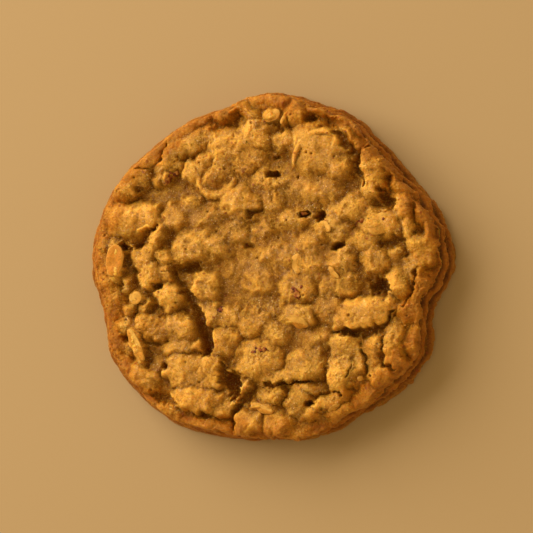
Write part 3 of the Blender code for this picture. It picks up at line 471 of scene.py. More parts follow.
def oval(x, y, middle_x, middle_y, half_length, half_width, turn):
    """How far out each point lies in an oval: 0 at its middle, 1 at its edge."""
    cosine, sine = math.cos(math.radians(turn)), math.sin(math.radians(turn))
    x, y = x - middle_x, y - middle_y
    u = np.abs(x * cosine + y * sine) / half_length
    v = np.abs(y * cosine - x * sine) / half_width
    return (u**2.3 + v**2.3) ** (1 / 2.3)


def near_oval(x, y, row, margin):
    """The points round one row's oval, how far out they lie in it, and its smaller half size."""
    middle_x, middle_y, half_length, half_width, turn = row[:5]
    reach = max(half_length, half_width) + margin
    near = (np.abs(x - middle_x) < reach) & (np.abs(y - middle_y) < reach)
    out = oval(x[near], y[near], middle_x, middle_y, half_length, half_width, turn)
    return near, out, min(half_length, half_width)


def near_cleft(x, y, start, end):
    """The points beside one leg of a cleft, how far they are from its middle line, and where along."""
    ahead_x, ahead_y = end[0] - start[0], end[1] - start[1]
    reach = math.hypot(ahead_x, ahead_y) / 2 + 3
    near = (np.abs(x - (start[0] + end[0]) / 2) < reach) & (np.abs(y - (start[1] + end[1]) / 2) < reach)
    x, y = x[near] - start[0], y[near] - start[1]
    along = np.clip((x * ahead_x + y * ahead_y) / (ahead_x**2 + ahead_y**2), 0, 1)
    return near, np.hypot(x - along * ahead_x, y - along * ahead_y), along


def top_height(x, y, edge, rim_height):
    """The height of the top, where the point lies this far inside the top's edge."""
    uneven_x, uneven_y = x, y
    for grain, swing, seed in WARPS:
        along = (x * math.cos(seed) - y * math.sin(seed)) / grain
        across = (x * math.sin(seed) + y * math.cos(seed)) / grain
        uneven_x = uneven_x + swing * swell(along, across, seed)
        uneven_y = uneven_y + swing * swell(along, across, seed + 10)
    floor = FLOOR + 0.5 * swell(x / 6, y / 6, 5)
    for middle_x, middle_y, half_length, half_width, top in MOUNDS:
        out = np.hypot((x - middle_x) / half_length, (y - middle_y) / half_width)
        floor += (top - floor) * np.exp(-(out**3))
    moist_x, moist_y, moist_length, moist_width = MOIST
    moist = np.exp(-(np.hypot((x - moist_x) / moist_length, (y - moist_y) / moist_width) ** 4))
    blend = BLEND + (MOIST_BLEND - BLEND) * moist
    steep = EDGE_SLOPE + (MOIST_EDGE_SLOPE - EDGE_SLOPE) * moist
    high = np.exp((floor - 11) / blend)
    tint = 0.5 * high
    for row in CLUMPS:
        near, out, small = near_oval(uneven_x, uneven_y, row, 4)
        height = row[5] + 0.25 - DOMING * small * np.minimum(out, 1.3) ** 2.2
        height -= steep[near] * soft_step((out - 1) * small, 0.3)
        share = np.exp((height - 11) / blend[near])
        high[near] += share
        tint[near] += share * (math.sin(97 * row[0] + 31 * row[1]) + 1) / 2
    tint /= high
    height = 11 + blend * np.log(high)
    rim = rim_height + 5 * np.sqrt(np.clip(edge / RIM_ROUND, 0, 1))
    height = -soft_max(-height, -rim, 0.3)
    rough = np.clip(0.65 + 0.9 * swell(x / 7, y / 7, 6), 0.3, 1.2)
    for row in SKINS:
        near, out, small = near_oval(x, y, row, 3)
        rough[near] += (row[5] - rough[near]) * np.exp(-(out**4))
    for grain, swing, seed in SWELLS:
        height += swing * swell(x / grain, y / grain, seed)
    for grain, swing, seed in MOIST_SWELLS:
        height += moist * swing * swell(x / grain, y / grain, seed)
    height += CRUMB_SWING * rough * (crumbs(uneven_x, uneven_y, CRUMB_GRAIN, 8) - 0.4)
    ragged_x, ragged_y = 0.8 * x + 0.2 * uneven_x, 0.8 * y + 0.2 * uneven_y
    for ridge in RIDGES:
        for start, end in zip(ridge, ridge[1:]):
            near, away, along = near_cleft(ragged_x, ragged_y, start, end)
            half_width = start[2] + (end[2] - start[2]) * along
            crest = start[3] + (end[3] - start[3]) * along
            crest = crest - 0.5 * (away / half_width) ** 2
            crest = crest - RIDGE_SLOPE * soft_step(away - half_width, 0.15)
            crest = -soft_max(-crest, -rim[near], 0.3)
            height[near] = soft_max(height[near], crest, 0.15)
    uncut = height.copy()
    for row in PITS:
        near, out, small = near_oval((x + uneven_x) / 2, (y + uneven_y) / 2, row, 3)
        out = out * (1 + 0.4 * swell(x[near] / 0.9, y[near] / 0.9, 34))
        depth = row[5] + out**2 + CUT_SLOPE * soft_step((out - 0.95) * small, 0.2)
        height[near] = -soft_max(-height[near], -depth, 0.15)
    for cleft in CLEFTS:
        for start, end in zip(cleft, cleft[1:]):
            near, away, along = near_cleft(uneven_x, uneven_y, start, end)
            half_width = start[2] + (end[2] - start[2]) * along
            bottom = start[3] + (end[3] - start[3]) * along
            away = away + 0.5 * swell(x[near] / 1.3, y[near] / 1.3, 35)
            depth = bottom + (away / half_width) ** 2 + CUT_SLOPE * soft_step(away - half_width, 0.25)
            height[near] = -soft_max(-height[near], -depth, 0.12)
    cut = uncut - height
    for grain, swing, seed in FINE_BUMPS:
        away, chance = cells(uneven_x / grain, uneven_y / grain, seed)
        height += 0.8 * swing * (0.3 + rough) * (0.5 + chance) * (1 - 2 * np.minimum(away, 0.8) ** 2)
    for spacing, share, size, seed in PORES:
        away, chance = cells(x / spacing, y / spacing, seed)
        pore = np.clip(1 - away * spacing / (size * (0.6 + chance / share)), 0, 1)
        height -= np.where((chance < share) & (edge > 2), PORE_DEPTH * np.sqrt(pore), 0)
    return height, tint, cut


def only(*objects):
    """Selects these objects and nothing else, the first of them active."""
    bpy.ops.object.select_all(action="DESELECT")
    for obj in objects:
        obj.select_set(True)
    bpy.context.view_layer.objects.active = objects[0]


def apply_modifier(obj, kind, **settings):
    """Adds a modifier with these settings and applies it."""
    only(obj)
    modifier = obj.modifiers.new(kind.lower(), kind)
    for name, value in settings.items():
        setattr(modifier, name, value)
    bpy.ops.object.modifier_apply(modifier=modifier.name)


def relief(obj, kind, size, height, level, group="", **settings):
    """Pushes the surface in and out by a texture of this grain, its full swing this high."""
    texture = bpy.data.textures.new("relief", kind)
    texture.noise_scale = size * MM
    for name, value in settings.items():
        setattr(texture, name, value)
    apply_modifier(
        obj, "DISPLACE", texture=texture, texture_coords="LOCAL",
        strength=height * MM, mid_level=level, vertex_group=group,
    )


def read(block, name, width, kind=np.float32):
    """A mesh block's values as an array, one row to each item."""
    values = np.empty(width * len(block), kind)
    block.foreach_get(name, values)
    return values.reshape(-1, width)


SHEET = 330  # faces along each side of the sheet
ROWS = 26  # rows of faces down the side wall
UNDER_RINGS = 24  # rings of faces that close the underside
UNDER_STEP = 0.915  # each ring's width as a share of the one before
UNDER_DENT = 0.3  # how far the dents in the underside rise off the tray
TRIANGLES = 195000
bpy.ops.object.select_all(action="DESELECT")
bpy.ops.mesh.primitive_grid_add(x_subdivisions=SHEET, y_subdivisions=SHEET, size=2.0)
dough = bpy.context.object
dough.name = "cookie_dough"
bpy.ops.object.mode_set(mode="EDIT")
bpy.ops.mesh.select_all(action="SELECT")
bpy.ops.mesh.region_to_loop()
for row in range(ROWS):
    bpy.ops.mesh.extrude_edges_move(TRANSFORM_OT_translate={"value": (0, 0, -1)})
for ring in range(UNDER_RINGS):
    bpy.ops.mesh.extrude_edges_move()
    bpy.ops.transform.resize(value=(UNDER_STEP, UNDER_STEP, 1))
bpy.ops.mesh.edge_face_add()
bpy.ops.object.mode_set(mode="OBJECT")

# The square sheet is drawn into a round one, then each of its points is lifted to its height.
flat = read(dough.data.vertices, "co", 3).astype(float)
u, v, row = flat[:, 0], flat[:, 1], np.round(-flat[:, 2])
wide = np.abs(u) >= np.abs(v)
ring = np.where(wide, u, v)
part = np.where(wide, v, u) / np.where(ring == 0, 1, ring)
angle = np.where(wide, part * math.pi / 4, math.pi / 2 - part * math.pi / 4)
angle = np.where(ring < 0, angle + math.pi, angle)
ring = np.abs(ring)
rim_height = round_curve(angle, RIM_HEIGHTS)
edge_radius = wall(angle, rim_height)
radius = ring * edge_radius
inside_edge = edge_radius - radius
height = top_height(radius * np.cos(angle), radius * np.sin(angle), inside_edge, rim_height)[0]
on_wall = row > 0
edge_x, edge_y = (edge_radius * np.cos(angle))[on_wall], (edge_radius * np.sin(angle))[on_wall]
edge_height = top_height(edge_x, edge_y, np.zeros(len(edge_x)), rim_height[on_wall])[0]
wall_height = edge_height * (1 - row[on_wall] / ROWS)
lip_shift = edge_radius[on_wall] - wall(angle[on_wall], edge_height)
lip_shift *= (wall_height / edge_height) ** 3
radius[on_wall] = ring[on_wall] * (wall(angle[on_wall], wall_height) + lip_shift)
height[on_wall] = wall_height
under = ring < np.where(on_wall, 0.96, 0)
place_x, place_y = radius * np.cos(angle), radius * np.sin(angle)
height[under] = UNDER_DENT * np.clip(swell(place_x / 4, place_y / 4, 40), 0, 1)[under]
place = np.stack([place_x, place_y, height], -1)
dough.data.vertices.foreach_set("co", (place * MM).astype(np.float32).ravel())
dough.data.update()
only(dough)
bpy.ops.object.mode_set(mode="EDIT")
bpy.ops.mesh.select_all(action="SELECT")
bpy.ops.mesh.normals_make_consistent(inside=False)
bpy.ops.object.mode_set(mode="OBJECT")
dough.vertex_groups.new(name="free").add(
    [int(k) for k in np.flatnonzero(place[:, 2] > 0.4)], 1.0, "REPLACE"
)
relief(dough, "CLOUDS", size=0.9, height=0.16, level=0.5, group="free", noise_depth=1)
dough.data.calc_loop_triangles()
apply_modifier(dough, "DECIMATE", ratio=min(1, TRIANGLES / len(dough.data.loop_triangles)))
only(dough)
bpy.ops.object.shade_smooth()

# Baked dough is gold where it swelled up into the heat, khaki where it stayed moist and more khaki
# the lower it lies, toasted orange-brown at the rim and the side. Painted shade darkens it to brown
# down in its crevices, pits and clefts and in the side wall's grooves, and a painted highlight
# lightens its crests.
CREVICE_FINE = 0.12  # how deep a crevice lies below its close surroundings, and below its wide ones
CREVICE_BROAD = 1.1
# Where the oven browned it: an oval and how far, from 0 moist khaki over gold to 1 toasted orange
TOASTING = (
    (-30.0, 9.8, 5.8, 4.2, 0, 0.50),
    (-24.0, 27.0, 13.0, 3.6, 38, 0.75),
    (-31.0, 18.0, 5.0, 3.2, 30, 0.65),
    (-20.0, 9.6, 3.8, 3.8, 0, 0.00),
    (-5.0, 13.4, 4.4, 3.6, -20, 0.60),
    (-14.0, 3.4, 6.0, 4.0, 0, 0.50),
    (-25.8, -2.8, 2.4, 2.8, 0, 0.95),
    (-12.9, -6.4, 3.4, 3.8, 0, 0.64),
    (4.0, -1.0, 13.0, 9.0, 0, 0.15),
    (8.2, 8.6, 3.6, 3.0, 0, 0.68),
    (21.3, 10.0, 8.0, 4.0, -10, 0.45),
    (26.6, 20.8, 4.4, 5.0, 0, 0.60),
    (25.6, -11.6, 5.0, 3.4, 14, 0.10),
    (0.2, -20.8, 5.0, 4.6, 0, 0.58),
    (-16.4, -26.4, 7.0, 5.6, 0, 0.55),
    (10.6, -24.0, 5.0, 3.4, 0, 0.60),
    (0.0, -36.4, 10.0, 3.2, 0, 1.00),
    (28.0, -27.4, 6.0, 4.0, 35, 1.00),
    (18.8, -24.0, 3.6, 5.6, -8, 0.60),
    (1.9, -31.2, 4.0, 2.8, 0, 0.75),
    (-8.0, 27.0, 7.5, 5.0, 10, 0.25),
    (-10.8, 30.4, 4.4, 2.4, 20, 0.55),
    (2.0, 36.0, 9.0, 3.0, 0, 0.95),
    (13.4, 24.4, 6.0, 5.6, 0, 0.10),
    (13.4, 16.2, 6.0, 4.0, 0, 0.20),
    (31.0, -19.0, 5.0, 6.0, 0, 0.65),
    (34.6, 10.0, 4.0, 6.0, 10, 0.60),
)
mesh = dough.data
points = read(mesh.vertices, "co", 3).astype(float)
normals = read(mesh.vertices, "normal", 3).astype(float)
ends = read(mesh.edges, "vertices", 2, np.int32)
neighbours = np.bincount(ends.ravel(), minlength=len(points))[:, None]


def smoothed(points, rounds):
    """The points drawn in towards the middle of their neighbours, so many times."""
    for _ in range(rounds):
        total = np.stack(
            [
                np.bincount(ends[:, 0], points[ends[:, 1], axis], len(points))
                + np.bincount(ends[:, 1], points[ends[:, 0], axis], len(points))
                for axis in range(3)
            ],
            -1,
        )
        points = (points + total / neighbours) / 2
    return points


def note(mesh, name, values):
    """Keeps one number for each point of the mesh under this name."""
    mesh.attributes.new(name, "FLOAT", "POINT").data.foreach_set("value", values.astype(np.float32))


fine = smoothed(points, 8)
broad = smoothed(fine, 90)
deep_fine = ((fine - points) * normals).sum(1) / (CREVICE_FINE * MM)
deep_broad = ((broad - points) * normals).sum(1) / (CREVICE_BROAD * MM)
note(mesh, "crevice_fine", np.clip(deep_fine, -2, 2))
note(mesh, "crevice_broad", np.clip(deep_broad, -2, 2))
turn_round = np.arctan2(points[:, 1], points[:, 0])
rim_round = round_curve(turn_round, RIM_HEIGHTS)
to_rim = wall(turn_round, rim_round) - np.hypot(points[:, 0], points[:, 1]) / MM
note(mesh, "from_rim", to_rim)
_, tint, cut = top_height(points[:, 0] / MM, points[:, 1] / MM, to_rim, rim_round)
for row in TOASTING:
    near, out, _ = near_oval(points[:, 0] / MM, points[:, 1] / MM, row, 3)
    tint[near] += (row[5] - tint[near]) * 0.8 * np.exp(-(out**4))
note(mesh, "tint", tint)
note(mesh, "cut", np.where(to_rim > 1, cut, 0))
on_side = (points[:, 2] / MM < rim_round - 0.3) & (to_rim < 3)
note(mesh, "groove", np.where(on_side, layers(turn_round, points[:, 2] / MM), 0))
middle = sum((Vector(corner) for corner in dough.bound_box), Vector()) / 8
middle.z = 0
mesh.transform(Matrix.Translation(-middle))


def new_look(name):
    """A new material, the nodes and links that its pattern goes into, and its shader."""
    look = bpy.data.materials.new(name)
    look.use_nodes = True
    tree = look.node_tree
    return look, tree.nodes, tree.links, tree.nodes["Principled BSDF"]


def node(kind, **settings):
    """Adds a node with these settings to the material in hand."""
    made = nodes.new(kind)
    for name, value in settings.items():
        setattr(made, name, value)
    return made


def attr(name):
    """One of the numbers noted on the mesh."""
    return node("ShaderNodeAttribute", attribute_name=name).outputs["Fac"]


def plug(value, socket):
    """Links an output to the socket, or writes a number or colour on it."""
    if hasattr(value, "is_linked"):
        links.new(value, socket)
    elif isinstance(value, tuple):
        socket.default_value = (*value, 1.0)
    else:
        socket.default_value = value


def span(value, low, high, to_low=0.0, to_high=1.0):
    """Carries the range low..high over to to_low..to_high, held at its ends."""
    made = node("ShaderNodeMapRange")
    links.new(value, made.inputs["Value"])
    made.inputs["From Min"].default_value = low
    made.inputs["From Max"].default_value = high
    made.inputs["To Min"].default_value = to_low
    made.inputs["To Max"].default_value = to_high
    return made.outputs["Result"]


def mix(share, first, second):
    """The first colour, with this share of the second over it."""
    made = node("ShaderNodeMix", data_type="RGBA")
    plug(share, made.inputs[0])
    plug(first, made.inputs[6])
    plug(second, made.inputs[7])
    return made.outputs[2]


def maths(operation, first, second=0.0):
    """One sum or product of two numbers or outputs."""
    made = node("ShaderNodeMath", operation=operation)
    plug(first, made.inputs[0])
    plug(second, made.inputs[1])
    return made.outputs[0]


def moved(shift):
    """The piece's own coordinates, shifted so that each pattern is its own."""
    move = node("ShaderNodeMapping")
    links.new(node("ShaderNodeTexCoord").outputs["Object"], move.inputs["Vector"])
    move.inputs["Location"].default_value = (shift, shift, shift)
    return move.outputs["Vector"]


def clouds(size, detail=3.0, rough=0.55, shift=0.0):
    """Soft noise in lumps of this many millimetres."""
    made = node("ShaderNodeTexNoise")
    links.new(moved(shift), made.inputs["Vector"])
    made.inputs["Scale"].default_value = 1 / (size * MM)
    made.inputs["Detail"].default_value = detail
    made.inputs["Roughness"].default_value = rough
    return made.outputs["Fac"]


def specks(size, shift=0.0):
    """The distance to the nearest of dots about this many millimetres apart."""
    made = node("ShaderNodeTexVoronoi")
    links.new(moved(shift), made.inputs["Vector"])
    made.inputs["Scale"].default_value = 1 / (size * MM)
    return made.outputs["Distance"]


def raised(pattern, height, strength=1.0):
    """The normal of a surface that this pattern raises by so many millimetres."""
    bump = node("ShaderNodeBump")
    bump.inputs["Strength"].default_value = strength
    bump.inputs["Distance"].default_value = height * MM
    links.new(pattern, bump.inputs["Height"])
    return bump.outputs["Normal"]


def let_light_in(weight, radius, depth):
    """Lets light soak in, so many millimetres deep, and further for red than for green and blue."""
    shader.inputs["Subsurface Weight"].default_value = weight
    shader.inputs["Subsurface Radius"].default_value = radius
    shader.inputs["Subsurface Scale"].default_value = depth * MM


GOLD = (0.920, 0.490, 0.084)
KHAKI = (0.345, 0.160, 0.014)
TOAST = (0.520, 0.195, 0.008)
# A mid brown for painted shade in crevices, pits and clefts, and for the fine mottle of the grain.
CREASE_SHADE_AND_MOTTLE = (0.270, 0.100, 0.006)
# A darker brown for deeper painted shade, in crevices, pits, clefts and small pores.
SHADE_BROWN = (0.230, 0.070, 0.004)
LAYER_BROWN = (0.350, 0.108, 0.007)
RIM_BROWN = (0.200, 0.052, 0.003)
# Near black for the painted shade in the side wall's grooves.
GROOVE_SHADE = (0.045, 0.012, 0.002)
PALE = (0.860, 0.480, 0.070)
RED = (0.300, 0.060, 0.020)
# Pale sugar crystals with a painted glint on them.
SUGAR_GLINT = (0.950, 0.760, 0.420)
SHINE = 0.12
COAT_ROUGHNESS = 0.12
dough_look, nodes, links, shader = new_look("baked_dough")
axes = node("ShaderNodeSeparateXYZ")
links.new(node("ShaderNodeTexCoord").outputs["Object"], axes.inputs[0])
above_tray = axes.outputs["Z"]
from_rim = maths("ADD", attr("from_rim"), span(clouds(5.0, shift=11.0), 0.35, 0.65, -1.8, 2.4))
colour = mix(span(attr("tint"), 0.55, 0.05, 0.0, 0.8), GOLD, KHAKI)
colour = mix(span(attr("tint"), 0.60, 0.95, 0.0, 0.7), colour, TOAST)
colour = mix(span(clouds(3.4, shift=3.0), 0.50, 0.66, 0.0, 0.5), colour, TOAST)
colour = mix(span(clouds(1.6, shift=4.0), 0.45, 0.62, 0.0, 0.4), colour, KHAKI)
colour = mix(span(from_rim, 10.0, 22.0, 0.0, 0.45), colour, KHAKI)
colour = mix(span(clouds(7.0, detail=1.0, shift=15.0), 0.48, 0.62, 0.0, 0.45), colour, KHAKI)
# The lower the dough lies, the more khaki is mixed in.
colour = mix(span(above_tray, 13.0 * MM, 10.8 * MM, 0.0, 0.85), colour, KHAKI)
colour = mix(span(from_rim, 5.4, 2.6, 0.0, 0.9), colour, TOAST)
colour = mix(span(from_rim, 3.6, 0.4, 0.0, 0.9), colour, LAYER_BROWN)
baked = span(clouds(2.2, shift=16.0), 0.45, 0.60, 0.0, 0.6)
colour = mix(maths("MULTIPLY", baked, span(from_rim, 2.4, 0.6)), colour, RIM_BROWN)
colour = mix(span(above_tray, 6.0 * MM, 2.6 * MM, 0.0, 0.8), colour, RIM_BROWN)
# Painted shade in the side wall's grooves, darkest where they cut deepest.
colour = mix(span(attr("groove"), 0.4, 1.5, 0.0, 0.9), colour, GROOVE_SHADE)
# Painted shade: the deeper a point lies in a crevice, pit or cleft, the more it is darkened to brown.
colour = mix(span(attr("crevice_broad"), 0.0, 1.1, 0.0, 0.75), colour, CREASE_SHADE_AND_MOTTLE)
colour = mix(span(attr("crevice_fine"), 0.1, 1.1, 0.0, 0.5), colour, CREASE_SHADE_AND_MOTTLE)
colour = mix(span(attr("crevice_broad"), 0.8, 1.8, 0.0, 0.85), colour, SHADE_BROWN)
colour = mix(span(attr("cut"), 0.4, 2.4, 0.0, 0.75), colour, CREASE_SHADE_AND_MOTTLE)
colour = mix(span(attr("cut"), 2.0, 4.6, 0.0, 0.85), colour, SHADE_BROWN)
# A painted highlight: the raised crests, away from the rim, are lightened towards gold.
crest_highlight = span(attr("crevice_broad"), -0.1, -1.0)
colour = mix(maths("MULTIPLY", crest_highlight, span(from_rim, 3.0, 5.0, 0.2, 0.8)), colour, GOLD)
# Painted shade of small pores: scattered dark brown specks.
colour = mix(span(specks(1.3), 0.12, 0.06, 0.0, 0.4), colour, SHADE_BROWN)
colour = mix(span(specks(3.1, shift=7.0), 0.13, 0.08, 0.0, 0.7), colour, RED)
colour = mix(span(clouds(0.35, detail=2.0, shift=1.0), 0.52, 0.68, 0.0, 0.48), colour, CREASE_SHADE_AND_MOTTLE)
grains = span(clouds(0.35, detail=2.0, shift=2.0), 0.52, 0.66)
colour = mix(maths("MULTIPLY", grains, span(from_rim, 0.0, 4.0, 0.06, 0.4)), colour, PALE)
# Pale sugar crystals with a painted glint, in patches away from the rim.
sugar_glint_patches = span(clouds(2.6, shift=12.0), 0.42, 0.56, 0.0, 0.6)
sugar_glints = maths("MULTIPLY", span(specks(0.8, shift=14.0), 0.17, 0.10), sugar_glint_patches)
colour = mix(maths("MULTIPLY", sugar_glints, span(from_rim, 3.0, 7.0)), colour, SUGAR_GLINT)
links.new(colour, shader.inputs["Base Color"])
links.new(span(clouds(3.0, shift=5.0), 0.35, 0.65, 0.36, 0.56), shader.inputs["Roughness"])
shader.inputs["Specular IOR Level"].default_value = SHINE
let_light_in(0.75, radius=(0.8, 0.5, 0.2), depth=1.6)
wet = span(clouds(2.6, shift=12.0), 0.42, 0.60, 0.10, 0.80)
links.new(maths("MULTIPLY", wet, span(from_rim, 1.0, 6.0, 0.05, 1.0)), shader.inputs["Coat Weight"])
shader.inputs["Coat Roughness"].default_value = COAT_ROUGHNESS
granules = maths("MULTIPLY", specks(0.75, shift=8.0), -0.7)
skin = maths("ADD", clouds(0.45, detail=3.0, rough=0.7), granules)
links.new(raised(skin, height=0.26), shader.inputs["Normal"])
glaze = clouds(0.4, detail=2.0, rough=0.7, shift=6.0)
links.new(raised(glaze, height=0.6), shader.inputs["Coat Normal"])
dough.data.materials.clear()
dough.data.materials.append(dough_look)
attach(dough, "root")
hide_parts("cookie")

# ---------------------------------------------------------------- the oat flakes
# Rolled oats: thin steamed discs, pressed flat between rollers, lying in the top of the dough with
# a pale cut edge showing. Each row: middle, half length, half width, turn, lift, tip and its way,
# and how far the oven toasted it.
FLAKES = (
    (-34.0, 0.8, 3.7, 2.1, 85, 0.25, 6, 120, 1.0),
    (-28.7, -18.2, 3.9, 1.3, -65, 0.10, 20, 205, 0.6),
    (-28.9, -7.7, 1.8, 1.3, 10, 0.45, 10, 135, 0.0),
    (14.8, 7.9, 1.6, 1.0, -30, -0.15, 30, 200, 0.2),
    (16.9, -2.4, 1.7, 1.0, -38, 0.15, 34, 215, 0.1),
    (8.5, -13.1, 2.7, 1.7, -12, 0.00, 10, 170, 0.7),
    (8.2, -0.3, 2.3, 1.6, 80, -0.05, 8, 180, 0.2),
    (16.8, -32.0, 1.6, 1.0, 25, 0.10, 35, -60, 0.2),
    (0.3, -32.3, 2.4, 0.9, -20, 0.20, 12, 110, 0.6),
    (2.4, 32.8, 2.1, 1.3, 20, -0.30, 20, 120, 0.8),
    (5.6, 32.6, 1.9, 0.7, 62, 0.00, 30, 150, 0.5),
    (22.3, -25.5, 0.7, 0.6, 80, 0.20, 10, 100, 0.0),
    (27.5, 8.4, 3.0, 2.3, 20, -0.50, 12, 240, 0.3),
)
HALF_THICK = 0.27
FLAKE_SIDES = 20
FLAKE_RINGS = 8


def surface(x, y):
    """The dough's height under each of these points."""
    x, y = np.atleast_1d(x).astype(float), np.atleast_1d(y).astype(float)
    turn = np.arctan2(y, x)
    rim = round_curve(turn, RIM_HEIGHTS)
    return top_height(x, y, wall(turn, rim) - np.hypot(x, y), rim)[0]


def lie(rows, step=1.2):
    """Where things lie on the dough: x, y, turn, lift, tip and the way it tips to, of each."""
    x, y, turn, lift, tip, way = np.array(rows, float).T
    rise_x = (surface(x + step, y) - surface(x - step, y)) / (2 * step)
    rise_y = (surface(x, y + step) - surface(x, y - step)) / (2 * step)
    beside = [surface(x + step * i, y + step * j) for i, j in ((0, 0), (1, 0), (-1, 0), (0, 1), (0, -1))]
    heights = np.mean(beside, axis=0)
    turn, tip, way = np.radians(turn), np.tan(np.radians(tip)), np.radians(way)
    resting = []
    for k in range(len(x)):
        facing = Vector((-rise_x[k], -rise_y[k], 1)).normalized()
        facing = (facing + Vector((math.cos(way[k]), math.sin(way[k]), 0)) * tip[k]).normalized()
        along = Vector((math.cos(turn[k]), math.sin(turn[k]), 0))
        along = (along - facing * along.dot(facing)).normalized()
        turned = Matrix((along, facing.cross(along), facing)).transposed()
        place = (Vector((x[k], y[k], heights[k])) + facing * lift[k]) * MM - middle
        resting.append(Matrix.Translation(place) @ turned.to_4x4())
    return resting


def first_of(name):
    """Names the piece just added, and stays in edit mode, so that the next ones join it."""
    piece = bpy.context.object
    piece.name = name
    only(piece)
    bpy.ops.object.transform_apply(location=True, rotation=True, scale=True)
    bpy.ops.object.mode_set(mode="EDIT")
    return piece


resting_flakes = lie([(row[0], row[1], *row[4:8]) for row in FLAKES])

bpy.ops.object.select_all(action="DESELECT")
for flake, resting in zip(FLAKES, resting_flakes):
    bpy.ops.mesh.primitive_uv_sphere_add(
        segments=FLAKE_SIDES,
        ring_count=FLAKE_RINGS,
        radius=MM,
        scale=(flake[2], flake[3], HALF_THICK),
        location=resting.to_translation(),
        rotation=resting.to_euler(),
    )
    if flake is FLAKES[0]:
        oats = first_of("oat_flakes")
bpy.ops.object.mode_set(mode="OBJECT")
relief(oats, "CLOUDS", size=2.0, height=0.9, level=0.5, noise_depth=0)
relief(oats, "CLOUDS", size=0.6, height=0.12, level=0.5, noise_depth=0)
only(oats)
bpy.ops.object.shade_smooth()
to_edge = []
each = len(oats.data.vertices) // len(FLAKES)
oat_points = read(oats.data.vertices, "co", 3).astype(float).reshape(len(FLAKES), each, 3) / MM
for flake, resting, block in zip(FLAKES, resting_flakes, oat_points):
    inside = np.array(resting.inverted())
    local = (block * MM) @ inside[:3, :3].T + inside[:3, 3]
    to_edge.append(np.hypot(local[:, 0] / flake[2], local[:, 1] / flake[3]) / MM)
note(oats.data, "to_edge", np.concatenate(to_edge))
note(oats.data, "toasted", np.repeat([flake[8] for flake in FLAKES], each))

OAT = (0.720, 0.360, 0.060)
OAT_EDGE = (0.820, 0.500, 0.120)
OAT_TOASTED = (0.640, 0.240, 0.024)
oat_look, nodes, links, shader = new_look("oat_flake")
colour = mix(attr("toasted"), OAT, OAT_TOASTED)
colour = mix(span(clouds(1.6, shift=4.0), 0.42, 0.60, 0.0, 0.4), colour, KHAKI)
colour = mix(span(clouds(0.5, shift=4.0), 0.50, 0.70, 0.0, 0.6), colour, CREASE_SHADE_AND_MOTTLE)
colour = mix(span(attr("to_edge"), 0.88, 1.0, 0.0, 0.4), colour, OAT_EDGE)
grains = span(specks(0.55, shift=2.0), 0.35, 0.10)
colour = mix(maths("MULTIPLY", grains, 0.3), colour, PALE)
links.new(colour, shader.inputs["Base Color"])
links.new(span(clouds(2.0), 0.35, 0.65, 0.42, 0.6), shader.inputs["Roughness"])
shader.inputs["Specular IOR Level"].default_value = SHINE
let_light_in(0.1, radius=(1.0, 0.5, 0.2), depth=0.5)
wrinkles = clouds(0.5, detail=4.0, rough=0.7)
links.new(raised(wrinkles, height=0.2, strength=0.8), shader.inputs["Normal"])
oats.data.materials.append(oat_look)
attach(oats, "root")
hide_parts("cookie")

# ---------------------------------------------------------------- the dough's crumbs
# The dough's skin broke as it spread and dried, into crumbs mostly under a millimetre across that
# still hold on to it. They are small round blocks of the same dough, sunk a little over half way.
CRUMBS = 8000
CRUMB_HALF = (0.13, 0.32)  # the smallest and largest half size
LARGE_SHARE = 0.12  # this share of them are larger again, by the factor below
LARGE = 1.5
CRUMB_SUNK = 0.35  # of its half size
EDGE_MARGIN = 0.3  # how far they keep from the top's edge
CRUMB_SOFTNESS = 0.1
draw = np.random.default_rng(12)
turn, out = draw.uniform(0, math.tau, CRUMBS), np.sqrt(draw.random(CRUMBS))
out *= round_curve(turn, OUTLINE_RADII) - round_curve(turn, WALL_LEANS) - EDGE_MARGIN
crumb_x, crumb_y = out * np.cos(turn), out * np.sin(turn)
crumby = np.ones(CRUMBS, bool)
for row in (*FLAKES, *SKINS):
    crumby &= oval(crumb_x, crumb_y, *row[:5]) > 1
crumb_x, crumb_y, count = crumb_x[crumby], crumb_y[crumby], crumby.sum()
half = draw.uniform(*CRUMB_HALF, count) * np.where(draw.random(count) < LARGE_SHARE, LARGE, 1)
bpy.ops.object.select_all(action="DESELECT")
bpy.ops.mesh.primitive_ico_sphere_add(subdivisions=1, radius=MM)
crumb = bpy.context.object
crumb.name = "dough_crumbs"
apply_modifier(crumb, "ARRAY", count=count, use_relative_offset=False)
middles = np.stack([crumb_x, crumb_y, surface(crumb_x, crumb_y) - CRUMB_SUNK * half], -1)
block = read(crumb.data.vertices, "co", 3).astype(float).reshape(count, -1, 3) / MM
block *= draw.uniform(0.7, 1.25, block.shape[:2])[:, :, None]
block *= draw.uniform(0.7, 1.2, (count, 1, 3)) * half[:, None, None]
block = (block + middles[:, None, :]) * MM - np.array(middle)
crumb.data.vertices.foreach_set("co", block.astype(np.float32).ravel())
crumb.data.update()
only(crumb)
bpy.ops.object.shade_smooth()
finder = KDTree(len(dough.data.vertices))
for number, vert in enumerate(dough.data.vertices):
    finder.insert(vert.co, number)
finder.balance()
under_crumb = [finder.find(block[k].mean(0))[1] for k in range(count)]
each = block.shape[1]
for name in ("crevice_fine", "crevice_broad", "from_rim", "groove", "tint", "cut"):
    held = np.empty(len(dough.data.vertices), np.float32)
    dough.data.attributes[name].data.foreach_get("value", held)
    note(crumb.data, name, np.repeat(held[under_crumb], each))
crumb_look = dough_look.copy()
crumb_look.name = "loose_crumb"
shader = crumb_look.node_tree.nodes["Principled BSDF"]
shader.inputs["Subsurface Weight"].default_value = CRUMB_SOFTNESS
crumb.data.materials.append(crumb_look)
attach(crumb, "root")
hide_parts("cookie")

